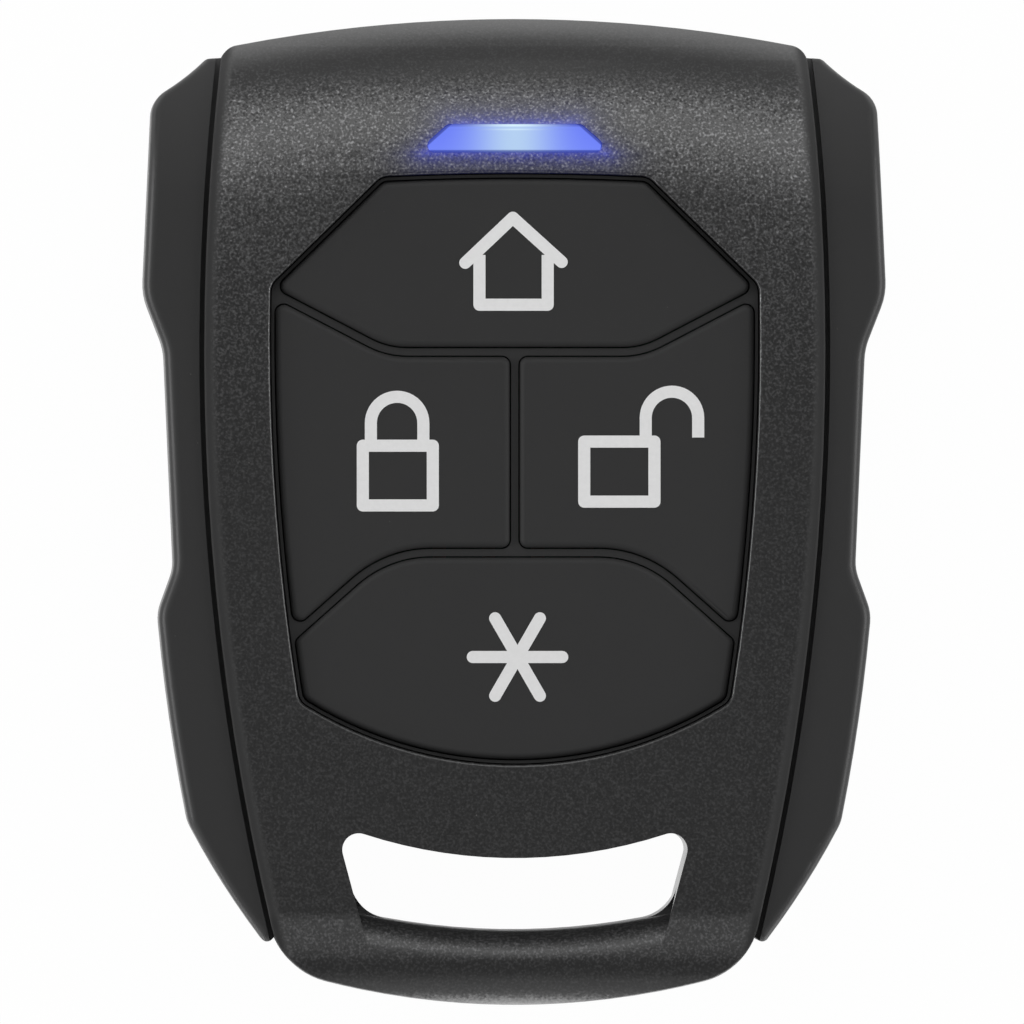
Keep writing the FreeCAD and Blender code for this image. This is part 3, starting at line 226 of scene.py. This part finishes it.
def forward_lean(finish, lip):
    """How far the grains lean towards the lamp end, from the roll to the bar by the slot."""
    square = finish.x * finish.x
    face = 0.06 * finish.y.rising(*FACE_TILTS)
    bow = 0.00044 * (square - BOW_LEVEL ** 2) * finish.y.rising(*BOW_BEGINS)
    inner_roll = 0.035 * finish.y.rising(*ROLL_RISES)
    outer_roll = 0.08 * (finish.y.rising(*ROLL_OUTSIDE) * (1.0 - square / ROLL_LEVEL ** 2))
    bar_end = 0.28 * (0.0 - finish.y).rising(*BAR_END)
    return face + bow - inner_roll - outer_roll + 0.16 * lip - bar_end


def painted_lens_glow(finish):
    """Painted glow of the lamp on the grain around the lens, as emission of the shell, weaker
    beyond the lens's two ends.
    """
    end_inset, left_after_a_mm = 0.6, 0.11
    height, middle = LENS_TOP - LENS_LOW, (LENS_TOP + LENS_LOW) / 2
    up_lens = (finish.y - LENS_LOW).at_least(0.0).at_most(height)
    beyond_end = abs(finish.x) + LENS_TAPER * up_lens - (LENS_HALF - end_inset)
    away_x = beyond_end.at_least(0.0) * LENS_SLANT
    away_y = (abs(finish.y - middle) - height / 2).at_least(0.0)
    away = (away_x * away_x + away_y * away_y).root()
    on_face = finish.z.rising(11.0, 12.0)
    return (left_after_a_mm ** away) * on_face


def panel_plastic():
    finish = new_finish("panel_plastic")
    walls = slot_walls(finish)
    field = inside_margin(finish) * (1.0 - walls)
    down = 0.0 - finish.y
    lip = down.rising(*LIP_BEGINS) * (1.0 - down.rising(*LIP_ENDS))
    lip_face = lip * (1.0 - walls)
    past_crest = finish.y.rising(*ROLL_CREST)
    sparkle = 0.3 + 0.7 * finish.y.rising(*SPARKLE_GROWS) + 0.35 * lip
    tips = finish.noise(size=0.155, detail=1.0).rising(0.44, 0.76) * field * (
        1.0 - 0.8 * past_crest) * sparkle
    black = finish.blend(finish.noise(size=6.0, detail=3.0),
                         (0.0115, 0.0115, 0.0117), (0.0145, 0.0145, 0.0147))
    polished = finish.blend(tips, black, (0.125, 0.125, 0.127))
    dust, dust_grey = finish.specks(spacing=2.6, radius=0.05), (0.16, 0.155, 0.15)
    # The painted glow: blue emission of the shell around the lens, standing for the lamp's
    # light.
    painted_glow, unlit, painted_glow_blue = painted_lens_glow(finish), (0.0, 0.0, 0.0), (0.014, 0.029, 0.42)
    depth = 0.35 + 0.3 * finish.y.rising(*GRAIN_DEEPENS)
    return finish.surface(
        base_color=finish.blend(dust * 0.6, polished, dust_grey),
        metallic=tips,
        roughness=0.78 - 0.5 * field - 0.56 * walls + 0.12 * lip_face,
        specular_ior_level=0.5,
        emission_color=finish.blend(painted_glow * (0.3 + 0.9 * finish.noise(size=0.2)),
                                    unlit, painted_glow_blue),
        emission_strength=1.0,
        normal=finish.grains(size=0.17, lean=field * depth * (1.0 - 0.9 * past_crest),
                             forward=forward_lean(finish, lip_face)))


WELD_DISTANCE = 0.002 * MM
SHARP_ANGLE = math.radians(38)


def smooth_copy(node, name):
    """The CAD solid again as one welded mesh, shaded smooth across its roundings."""
    welded = bmesh.new()
    welded.from_mesh(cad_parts[node].data)
    bmesh.ops.remove_doubles(welded, verts=welded.verts, dist=WELD_DISTANCE)
    welded.verts.index_update()
    corners = [vertex.co[:] for vertex in welded.verts]
    faces = [[vertex.index for vertex in face.verts] for face in welded.faces]
    welded.free()
    mesh = bpy.data.meshes.new(name)
    mesh.from_pydata(corners, [], faces)
    mesh.shade_smooth()
    mesh.set_sharp_from_angle(angle=SHARP_ANGLE)
    piece = bpy.data.objects.new(name, mesh)
    bpy.context.scene.collection.objects.link(piece)
    weighted = piece.modifiers.new("even_shading", "WEIGHTED_NORMAL")
    weighted.keep_sharp = True
    shown = bpy.data.meshes.new_from_object(
        piece.evaluated_get(bpy.context.evaluated_depsgraph_get()))
    piece.modifiers.clear()
    piece.data = shown
    bpy.data.meshes.remove(mesh)
    shown.name = name
    return piece


def dress(node, name, body, material):
    """Shows a smooth copy of a CAD node in a finish."""
    piece = smooth_copy(node, name)
    piece.data.materials.clear()
    piece.data.materials.append(material)
    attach(piece, body)
    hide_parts(node)


plastic = panel_plastic()
dress("front_shell", "front_shell_moulding", "remote_body", plastic)


# Rear shell: the other moulding, of the same black plastic and grain, with the flat back that
# the remote lies on. A hook at the lamp end and two screws hold it to the front shell.
dress("rear_shell", "rear_shell_moulding", "remote_body", plastic)


# Side grips: smooth soft rubber, moulded apart. Each has a tongue that sits in the groove along
# the parting of the two shells.
def bumped(finish, height, depth):
    """The surface's direction, raised by a height pattern that is depth mm high."""
    return finish.add("ShaderNodeBump", None, {
        "Strength": 1.0, "Distance": depth * MM, "Height": height})


def grip_rubber():
    finish = new_finish("grip_rubber")
    cloud = finish.noise(size=5.0, detail=3.0)
    black = finish.blend(cloud, (0.0225, 0.0225, 0.0227), (0.0255, 0.0255, 0.0257))
    dust, dust_grey = finish.specks(spacing=1.7, radius=0.045), (0.13, 0.125, 0.12)
    outer_side = finish.facing(0).rising(0.2, 0.5)
    return finish.surface(
        base_color=finish.blend(dust * 0.5, black, dust_grey),
        roughness=0.66 + 0.06 * cloud - 0.34 * outer_side,
        specular_ior_level=0.26,
        normal=bumped(finish, finish.noise(size=0.06), depth=0.004))


rubber = grip_rubber()
for side in ("left", "right"):
    dress(f"{side}_grip", f"{side}_grip_moulding", "remote_body", rubber)


# Keypad: four caps of matte silicone, framed by the ribs of the mat that carries them. White
# pictograms are pad-printed on the caps in a thin layer of ink.
KEYS = ("home", "lock", "unlock", "star")


def key_rubber(name, low, high):
    finish = new_finish(name)
    cloud = finish.noise(size=4.0, detail=3.0)
    dust, dust_grey = finish.specks(spacing=1.9, radius=0.04), (0.12, 0.12, 0.115)
    return finish.surface(
        base_color=finish.blend(dust * 0.4, finish.blend(cloud, low, high), dust_grey),
        roughness=0.66 + 0.06 * cloud,
        specular_ior_level=0.3,
        normal=bumped(finish, finish.noise(size=0.05), depth=0.003))


silicone = key_rubber("key_rubber", (0.0182, 0.0182, 0.0184), (0.0212, 0.0212, 0.0214))
mat_silicone = key_rubber("mat_rubber", (0.0175, 0.0175, 0.0177), (0.0205, 0.0205, 0.0207))
for key in KEYS:
    dress(f"{key}_key", f"{key}_key_cap", f"{key}_button", silicone)
dress("keypad_mat", "keypad_mat_sheet", "remote_body", mat_silicone)

# The pictograms' strokes, in mm on the face of the remote.
STROKE = 0.735
INK_DEPTH = 0.02
ROUND_STEPS = 12


def out_from(middle, angle, distance):
    """The point at a distance from the middle, at an angle from +X."""
    return middle + Vector((math.cos(angle), math.sin(angle))) * distance


def bar(start, end, round_start=True, round_end=True):
    """The outline of a straight stroke, with round or square ends."""
    start, end = Vector(start), Vector(end)
    heading = math.atan2(end.y - start.y, end.x - start.x)
    outline = []
    for middle, turn, is_round in ((end, heading - math.pi / 2, round_end),
                                   (start, heading + math.pi / 2, round_start)):
        for step in range(ROUND_STEPS + 1) if is_round else (0, ROUND_STEPS):
            outline.append(out_from(middle, turn + math.pi * step / ROUND_STEPS, STROKE / 2))
    return [outline]


def arch(middle, radius):
    """The pieces of a half ring, open downwards."""
    middle = Vector(middle)
    inner, outer = radius - STROKE / 2, radius + STROKE / 2
    angles = [math.pi * step / (2 * ROUND_STEPS) for step in range(2 * ROUND_STEPS + 1)]
    return [[out_from(middle, first, inner), out_from(middle, first, outer),
             out_from(middle, second, outer), out_from(middle, second, inner)]
            for first, second in zip(angles, angles[1:])]


def loop(corners):
    """The strokes of a closed line with round outer corners."""
    outlines = []
    for number, corner in enumerate(corners):
        outlines += bar(corner, corners[(number + 1) % len(corners)])
    return outlines


def padlock(low, high, shackle, radius, feet):
    """A padlock: its body's box, and a shackle with the foot of each of its legs."""
    strokes = loop([low, (high[0], low[1]), high, (low[0], high[1])]) + arch(shackle, radius)
    for side, foot in zip((-1, 1), feet):
        x = shackle[0] + side * radius
        strokes += bar((x, shackle[1]), (x, foot), False, False)
    return strokes


def house():
    """A house: two roof slopes that overhang a wall, a floor and a wall."""
    eaves_left, ridge, eaves_right = (-3.01, 15.12), (-0.12, 17.86), (2.85, 15.17)
    floor, wall_left, wall_right, wall_top = 12.57, -2.15, 2.0, 15.6
    return (bar(eaves_left, ridge) + bar(ridge, eaves_right)
            + bar((wall_left, wall_top), (wall_left, floor), False)
            + bar((wall_left, floor), (wall_right, floor))
            + bar((wall_right, floor), (wall_right, wall_top), True, False))


def asterisk(middle, half_length):
    """A star of three strokes that cross in the middle."""
    middle = Vector(middle)
    strokes = []
    for angle in (0, 60, 120):
        angle = math.radians(angle)
        strokes += bar(out_from(middle, angle, -half_length),
                       out_from(middle, angle, half_length))
    return strokes


PICTOGRAMS = {
    "home": house(),
    "lock": padlock(low=(-9.24, 0.37), high=(-4.985, 4.0),
                    shackle=(-7.155, 5.38), radius=1.595, feet=(4.0, 4.0)),
    "unlock": padlock(low=(4.22, 0.6), high=(8.49, 4.25),
                      shackle=(9.555, 5.69), radius=1.595, feet=(4.25, 4.5)),
    "star": asterisk(middle=(0.165, -8.845), half_length=2.72),
}


def white_ink():
    finish = new_finish("white_ink")
    grain = finish.noise(size=0.25, detail=3.0)
    return finish.surface(
        base_color=finish.blend(grain, (0.71, 0.71, 0.71), (0.79, 0.79, 0.79)),
        roughness=0.55 + 0.1 * grain,
        specular_ior_level=0.3,
        normal=bumped(finish, grain, depth=0.004))


def printed(name, outlines, level, material):
    """The strokes joined into one flat print, a little proud of the level it lies on."""
    points, faces = [], []
    for outline in outlines:
        faces.append(list(range(len(points), len(points) + len(outline))))
        points += outline
    filled_only, weld_distance = 1, 1e-5
    joined = delaunay_2d_cdt(points, [], faces, filled_only, weld_distance)
    flat, triangles, covered = joined[0], joined[2], joined[5]
    layer = bmesh.new()
    corners = [layer.verts.new((point.x * MM, point.y * MM, level)) for point in flat]
    for triangle, sources in zip(triangles, covered):
        if sources:
            layer.faces.new([corners[corner] for corner in triangle])
    raised = bmesh.ops.extrude_face_region(layer, geom=layer.faces[:])
    for item in raised["geom"]:
        if isinstance(item, bmesh.types.BMVert):
            item.co.z += INK_DEPTH * MM
    loose = [vertex for vertex in layer.verts if not vertex.link_faces]
    bmesh.ops.delete(layer, geom=loose, context="VERTS")
    bmesh.ops.recalc_face_normals(layer, faces=layer.faces)
    mesh = bpy.data.meshes.new(name)
    layer.to_mesh(mesh)
    layer.free()
    mesh.materials.append(material)
    piece = bpy.data.objects.new(name, mesh)
    bpy.context.scene.collection.objects.link(piece)
    return piece


ink = white_ink()
for key, strokes in PICTOGRAMS.items():
    key_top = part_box(f"{key}_key")[1].z
    sign = printed(f"{key}_pictogram", strokes, key_top, ink)
    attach(sign, f"{key}_button")


# Lens of the status lamp: clear plastic over a blue lamp. The stem behind its middle lights it,
# so it is nearly white there and a deep blue towards its two ends.
def bell(level, width):
    """1 where the level is 0, falling off evenly on both sides of it."""
    share = level / width
    return math.e ** (0.0 - share * share)


# Half the lens across its rounded low corners, and the inner lit line's place and half width.
CORNER_HALF = 5.44
LINE_BELOW_TOP, LINE_HALF = 0.33, 0.09


def lens_plastic():
    finish = new_finish("lens_plastic")
    middle = bell(finish.x, width=2.4)
    from_top, from_low = LENS_TOP - finish.y, finish.y - LENS_LOW
    slanted_end = (LENS_HALF - LENS_TAPER * from_low - abs(finish.x)) * LENS_SLANT
    round_corner = CORNER_HALF - abs(finish.x)
    inside = slanted_end.at_most(round_corner).at_most(from_low + 0.03)
    outline = 1.0 - inside.rising(0.13, 0.24)
    # Painted highlight along the lens's top edge, given as emission: white in the middle, and a
    # deep blue line towards the two ends.
    painted_top_edge = 1.0 - from_top.rising(0.08, 0.22)
    line = (1.0 - abs(from_top - LINE_BELOW_TOP).rising(0.0, LINE_HALF)) * 0.5
    blue = finish.blend((from_top / (LENS_TOP - LENS_LOW)).at_most(1.0),
                        (0.11, 0.16, 0.82), (0.15, 0.21, 0.86))
    lit = finish.blend(middle * 0.85, blue, (0.45, 0.62, 0.77))
    # The colour of the inner lit line and of the painted highlight along the top edge.
    lit_line_and_painted_edge_colour = finish.blend(bell(finish.x, width=2.2), (0.03, 0.045, 0.45), (0.72, 0.90, 0.95))
    lit_with_painted_edge = finish.blend((painted_top_edge * 0.8 + line * middle).at_most(1.0), lit, lit_line_and_painted_edge_colour)
    return finish.surface(
        base_color=finish.blend(middle, (0.02, 0.03, 0.10), (0.05, 0.07, 0.10)),
        roughness=0.2 + 0.06 * finish.noise(size=0.8),
        specular_ior_level=0.06,
        emission_color=finish.blend(outline * 0.85, lit_with_painted_edge, (0.02, 0.03, 0.25)),
        emission_strength=1.0)


dress("led_lens", "led_lens_clear", "remote_body", lens_plastic())


# Circuit board: glass cloth laminate under green solder mask, with the weave just showing. It
# rests on the rear shell, and the front shell's posts hold it down.
def node_finish(node, material):
    """Gives a CAD node that stays as it is its finish."""
    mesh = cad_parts[node].data
    mesh.materials.clear()
    mesh.materials.append(material)


def threads(finish, axis, fineness=600.0):
    """The glass cloth's threads in one direction, as waves between 0 and 1."""
    return finish.add("ShaderNodeTexWave", {"bands_direction": axis}, {
        "Vector": finish.place, "Scale": fineness}, 1)


def board_laminate():
    finish = new_finish("board_laminate")
    weave = threads(finish, "X") * threads(finish, "Y")
    return finish.surface(
        base_color=finish.blend(weave * 0.5 + finish.noise(size=2.0) * 0.3,
                                (0.006, 0.075, 0.028), (0.02, 0.15, 0.06)),
        roughness=0.28 + 0.1 * weave,
        normal=bumped(finish, weave, depth=0.006))


node_finish("circuit_board", board_laminate())


# Tact switches: square housings of black plastic, soldered to the board under the keys. Each
# has a pale plunger, which the post of its key presses.
def moulded(name, low, high, rough):
    finish = new_finish(name)
    cloud = finish.noise(size=1.5, detail=3.0)
    return finish.surface(
        base_color=finish.blend(cloud, low, high),
        roughness=rough + 0.1 * cloud,
        normal=bumped(finish, finish.noise(size=0.08), depth=0.006))


housing = moulded("switch_plastic", (0.018, 0.018, 0.019), (0.03, 0.03, 0.031), rough=0.42)
plunger = moulded("plunger_plastic", (0.52, 0.50, 0.45), (0.62, 0.60, 0.55), rough=0.4)
for key in KEYS:
    node_finish(f"{key}_switch_housing", housing)
    node_finish(f"{key}_switch_plunger", plunger)


# Status lamp: a small block of clear resin, soldered to the board under the stem of the lens.
# The pale chip in its middle glows blue.
def lamp_resin():
    finish = new_finish("lamp_resin")
    chip = 1.0 - abs(finish.x).rising(0.2, 1.2)
    return finish.surface(
        base_color=finish.blend(chip, (0.55, 0.6, 0.75), (0.85, 0.85, 0.7)),
        roughness=0.1 + 0.08 * finish.noise(size=0.5),
        emission_color=finish.blend(chip, (0.03, 0.05, 0.4), (0.3, 0.45, 1.0)),
        emission_strength=1.0)


node_finish("status_led", lamp_resin())


# Code chip, resistors and capacitors: moulded resin on tinned leads, and fired ceramic blocks
# with tinned ends, all soldered to the board.
CHIP_SIDE = (1.93, 1.96)
ROW_PLACE, ROW_GAP = -2.7, 11.3


def chip_resin():
    """Resin up to the chip's two sides, and tinned leads beyond them."""
    finish = new_finish("chip_resin")
    on_lead = abs(finish.x).rising(*CHIP_SIDE)
    grain = finish.noise(size=0.09, detail=3.0)
    resin = finish.blend(grain, (0.014, 0.014, 0.015), (0.024, 0.024, 0.025))
    tin_grey = (0.62, 0.61, 0.58)
    return finish.surface(
        base_color=finish.blend(on_lead, resin, tin_grey),
        metallic=on_lead,
        roughness=0.55 - 0.25 * on_lead,
        normal=bumped(finish, grain, depth=0.006))


def fired_ceramic():
    """Two rows of blocks, a gap apart along Y; each block's ends are tinned."""
    finish = new_finish("passive_ceramic")
    along = finish.y - ROW_PLACE
    off_row = along.worked("PINGPONG", along, ROW_GAP / 2)
    tinned = off_row.rising(0.48, 0.52)
    grain = finish.noise(size=0.15, detail=3.0)
    ceramic = finish.blend(grain, (0.20, 0.13, 0.075), (0.30, 0.20, 0.12))
    tin_grey = (0.66, 0.65, 0.62)
    return finish.surface(
        base_color=finish.blend(tinned * off_row.at_most(1.0), ceramic, tin_grey),
        metallic=tinned * 0.9,
        roughness=0.42 + 0.1 * grain,
        normal=bumped(finish, grain, depth=0.005))


node_finish("encoder_chip", chip_resin())
node_finish("chip_passives", fired_ceramic())


# Radio resonator, crystal, coin cell and its clip: nickel-plated steel with a drawn or rolled
# brushed finish.
def plated_steel():
    finish = new_finish("plated_steel")
    marks_per_metre = (900.0, 14000.0, 4000.0)
    stretched = finish.add("ShaderNodeMapping", None, {
        "Vector": finish.place, "Scale": marks_per_metre})
    brushed = finish.add("ShaderNodeTexNoise", None, {
        "Vector": stretched, "Scale": 1.0, "Detail": 3.0})
    return finish.surface(
        base_color=finish.blend(brushed, (0.50, 0.50, 0.48), (0.66, 0.65, 0.63)),
        metallic=1.0,
        roughness=0.24 + 0.16 * brushed,
        normal=bumped(finish, brushed, depth=0.002))


steel = plated_steel()
for node in ("rf_resonator", "crystal", "coin_cell", "battery_clip"):
    node_finish(node, steel)


# Loop antenna and the cell's minus contact: stamped copper alloy, tinned thinly, so that the
# copper shows through in patches.
def copper_strip():
    finish = new_finish("copper_strip")
    tinned = finish.noise(size=0.9, detail=4.0).rising(0.4, 0.62)
    copper_red, tin_grey = (0.62, 0.36, 0.20), (0.66, 0.60, 0.52)
    return finish.surface(
        base_color=finish.blend(tinned, copper_red, tin_grey),
        metallic=1.0,
        roughness=0.3 + 0.15 * tinned)


copper = copper_strip()
node_finish("loop_antenna", copper)
node_finish("battery_contact", copper)


# Shell screws: two self-tapping screws of black zinc-plated steel with cross recesses. They go
# in through the back, and bite into bosses of the front shell.
def screw_steel():
    finish = new_finish("screw_steel")
    worn = finish.noise(size=0.35, detail=4.0).rising(0.45, 0.75)
    black_zinc, bare_edge = (0.035, 0.036, 0.038), (0.11, 0.11, 0.115)
    return finish.surface(
        base_color=finish.blend(worn, black_zinc, bare_edge),
        metallic=0.9,
        roughness=0.34 + 0.14 * worn,
        normal=bumped(finish, worn, depth=0.003))


dress("shell_screws", "shell_screws_plated", "remote_body", screw_steel())


# Table, light and camera: a plain white table, a soft light beyond the lamp end and a strip
# beside each grip. Two more lights lie on the table, one off each end of the remote. The camera
# is almost straight above.
TABLE_HALF = 2.0


def ray(finish, kind):
    """1 for rays of one kind: Camera, Glossy for reflections, or Transmission."""
    return finish.add("ShaderNodeLightPath", output=f"Is {kind} Ray")


def table_white():
    finish = new_finish("table_white")
    seen = ray(finish, "Camera").at_least(ray(finish, "Glossy")).at_least(
        ray(finish, "Transmission"))
    lit = finish.add("ShaderNodeBsdfDiffuse", None, {"Color": (0.82, 0.82, 0.82)})
    bright = finish.add("ShaderNodeEmission", None, {"Color": (1.0, 1.0, 1.0)})
    return finish.shown(finish.add("ShaderNodeMixShader", None, {
        0: seen * 0.98, 1: lit, 2: bright}))


table_mesh = bpy.data.meshes.new("table")
table_mesh.from_pydata([(-TABLE_HALF, -TABLE_HALF, 0), (TABLE_HALF, -TABLE_HALF, 0),
                        (TABLE_HALF, TABLE_HALF, 0), (-TABLE_HALF, TABLE_HALF, 0)],
                       [], [(0, 1, 2, 3)])
table_mesh.materials.append(table_white())
table = bpy.data.objects.new("table", table_mesh)
bpy.context.scene.collection.objects.link(table)

# Directions in degrees: a lean from the upright, and a heading on the table from +X.
LAMP_LEAN, STRIP_LEAN = 54, 72
RIGHT, LAMP_END, LEFT = 0, 90, 180


def leaning(lean, heading):
    """The direction that leans from the upright towards a heading."""
    lean, heading = math.radians(lean), math.radians(heading)
    return Vector((math.sin(lean) * math.cos(heading), math.sin(lean) * math.sin(heading),
                   math.cos(lean)))


def studio_walls():
    """White behind everything. Reflections see white walls, a darker ceiling and the wide glow
    of a soft light beyond the lamp end instead, and other light gets a plain grey."""
    finish = Finish(bpy.data.worlds.new("studio"), "Generated", 1.0)
    white, plain_grey = (1.0, 1.0, 1.0), 0.45
    below_ceiling = 1.0 - 0.75 * finish.z.rising(0.4, 1.0)
    off_lamp_wall = 1.0 - 0.75 * finish.y.rising(0.1, 0.6)
    wide_glow = 2.3 * finish.y.rising(-0.12, 1.1) * finish.z.rising(0.42, 0.66)
    towards_lamp = leaning(LAMP_LEAN, LAMP_END)
    off_lamp = 1.0 - (finish.y * towards_lamp.y + finish.z * towards_lamp.z)
    glow = wide_glow + 2.0 * math.e ** (0.0 - off_lamp * 30.0)
    mirrored = ray(finish, "Glossy")
    seen = ray(finish, "Camera").at_least(ray(finish, "Transmission")) * (1.0 - mirrored)
    strength = ((1.0 - seen) * (1.0 - mirrored) * plain_grey + seen
                + mirrored * (below_ceiling * off_lamp_wall + glow))
    return finish.shown(finish.add("ShaderNodeBackground", None, {
        "Color": white, "Strength": strength}), "ShaderNodeOutputWorld")


bpy.context.scene.world = studio_walls()


def area_light(name, width, depth, radiance):
    """A rectangular light that the camera doesn't see, set by how bright it looks."""
    light = bpy.data.lights.new(name, "AREA")
    light.shape = "RECTANGLE"
    light.size = width
    light.size_y = depth
    light.energy = radiance * math.pi * width * depth
    lamp = bpy.data.objects.new(name, light)
    bpy.context.scene.collection.objects.link(lamp)
    lamp.visible_camera = False
    return lamp


def soft_light(name, direction, distance, width, depth, radiance):
    """A light that faces the remote."""
    lamp = area_light(name, width, depth, radiance)
    lamp.location = direction * distance
    lamp.rotation_euler = direction.to_track_quat("Z", "Y").to_euler()
    return lamp


def table_light(name, near, far, radiance):
    """A light that lies on the table beyond one end of the remote and shines upwards."""
    lamp = area_light(name, width=0.3, depth=abs(far - near), radiance=radiance)
    lamp.location = (0.0, (near + far) / 2, MM)
    lamp.rotation_euler = (math.pi, 0.0, 0.0)


lamp_end_light = soft_light("lamp_end_light", leaning(LAMP_LEAN, LAMP_END), distance=0.4,
                            width=0.28, depth=0.16, radiance=3.9)
lamp_end_light.visible_glossy = False
for side, heading, radiance in (("right", RIGHT, 4.8), ("left", LEFT, 5.6)):
    soft_light(f"{side}_strip", leaning(STRIP_LEAN, heading), distance=0.5,
               width=0.35, depth=0.2, radiance=radiance)
table_light("lamp_end_glow", near=0.04, far=0.1, radiance=1.5)
table_light("ring_end_glow", near=-0.04, far=-0.11, radiance=3.0)

# The picture is 62.25 mm wide at the height of the face, and the camera is 3 m above that.
FRAME_WIDTH = 62.25
SENSOR_WIDTH = 36.0
CAMERA_HEIGHT = 3.0
CAMERA_LEAN = math.radians(0.8)
LOOKS_AT = Vector((-0.17, -0.03, 13.6)) * MM
camera_data = bpy.data.cameras.new("camera")
camera_data.sensor_width = SENSOR_WIDTH
camera_data.lens = SENSOR_WIDTH * CAMERA_HEIGHT / (FRAME_WIDTH * MM)
camera_data.clip_start = 0.01
camera_data.clip_end = 10.0
camera = bpy.data.objects.new("camera", camera_data)
bpy.context.scene.collection.objects.link(camera)
camera.location = LOOKS_AT + CAMERA_HEIGHT * Vector(
    (-math.sin(CAMERA_LEAN), 0.0, math.cos(CAMERA_LEAN)))
camera.rotation_euler = (0.0, -CAMERA_LEAN, 0.0)
bpy.context.scene.camera = camera
bpy.context.scene.view_settings.view_transform = "Standard"
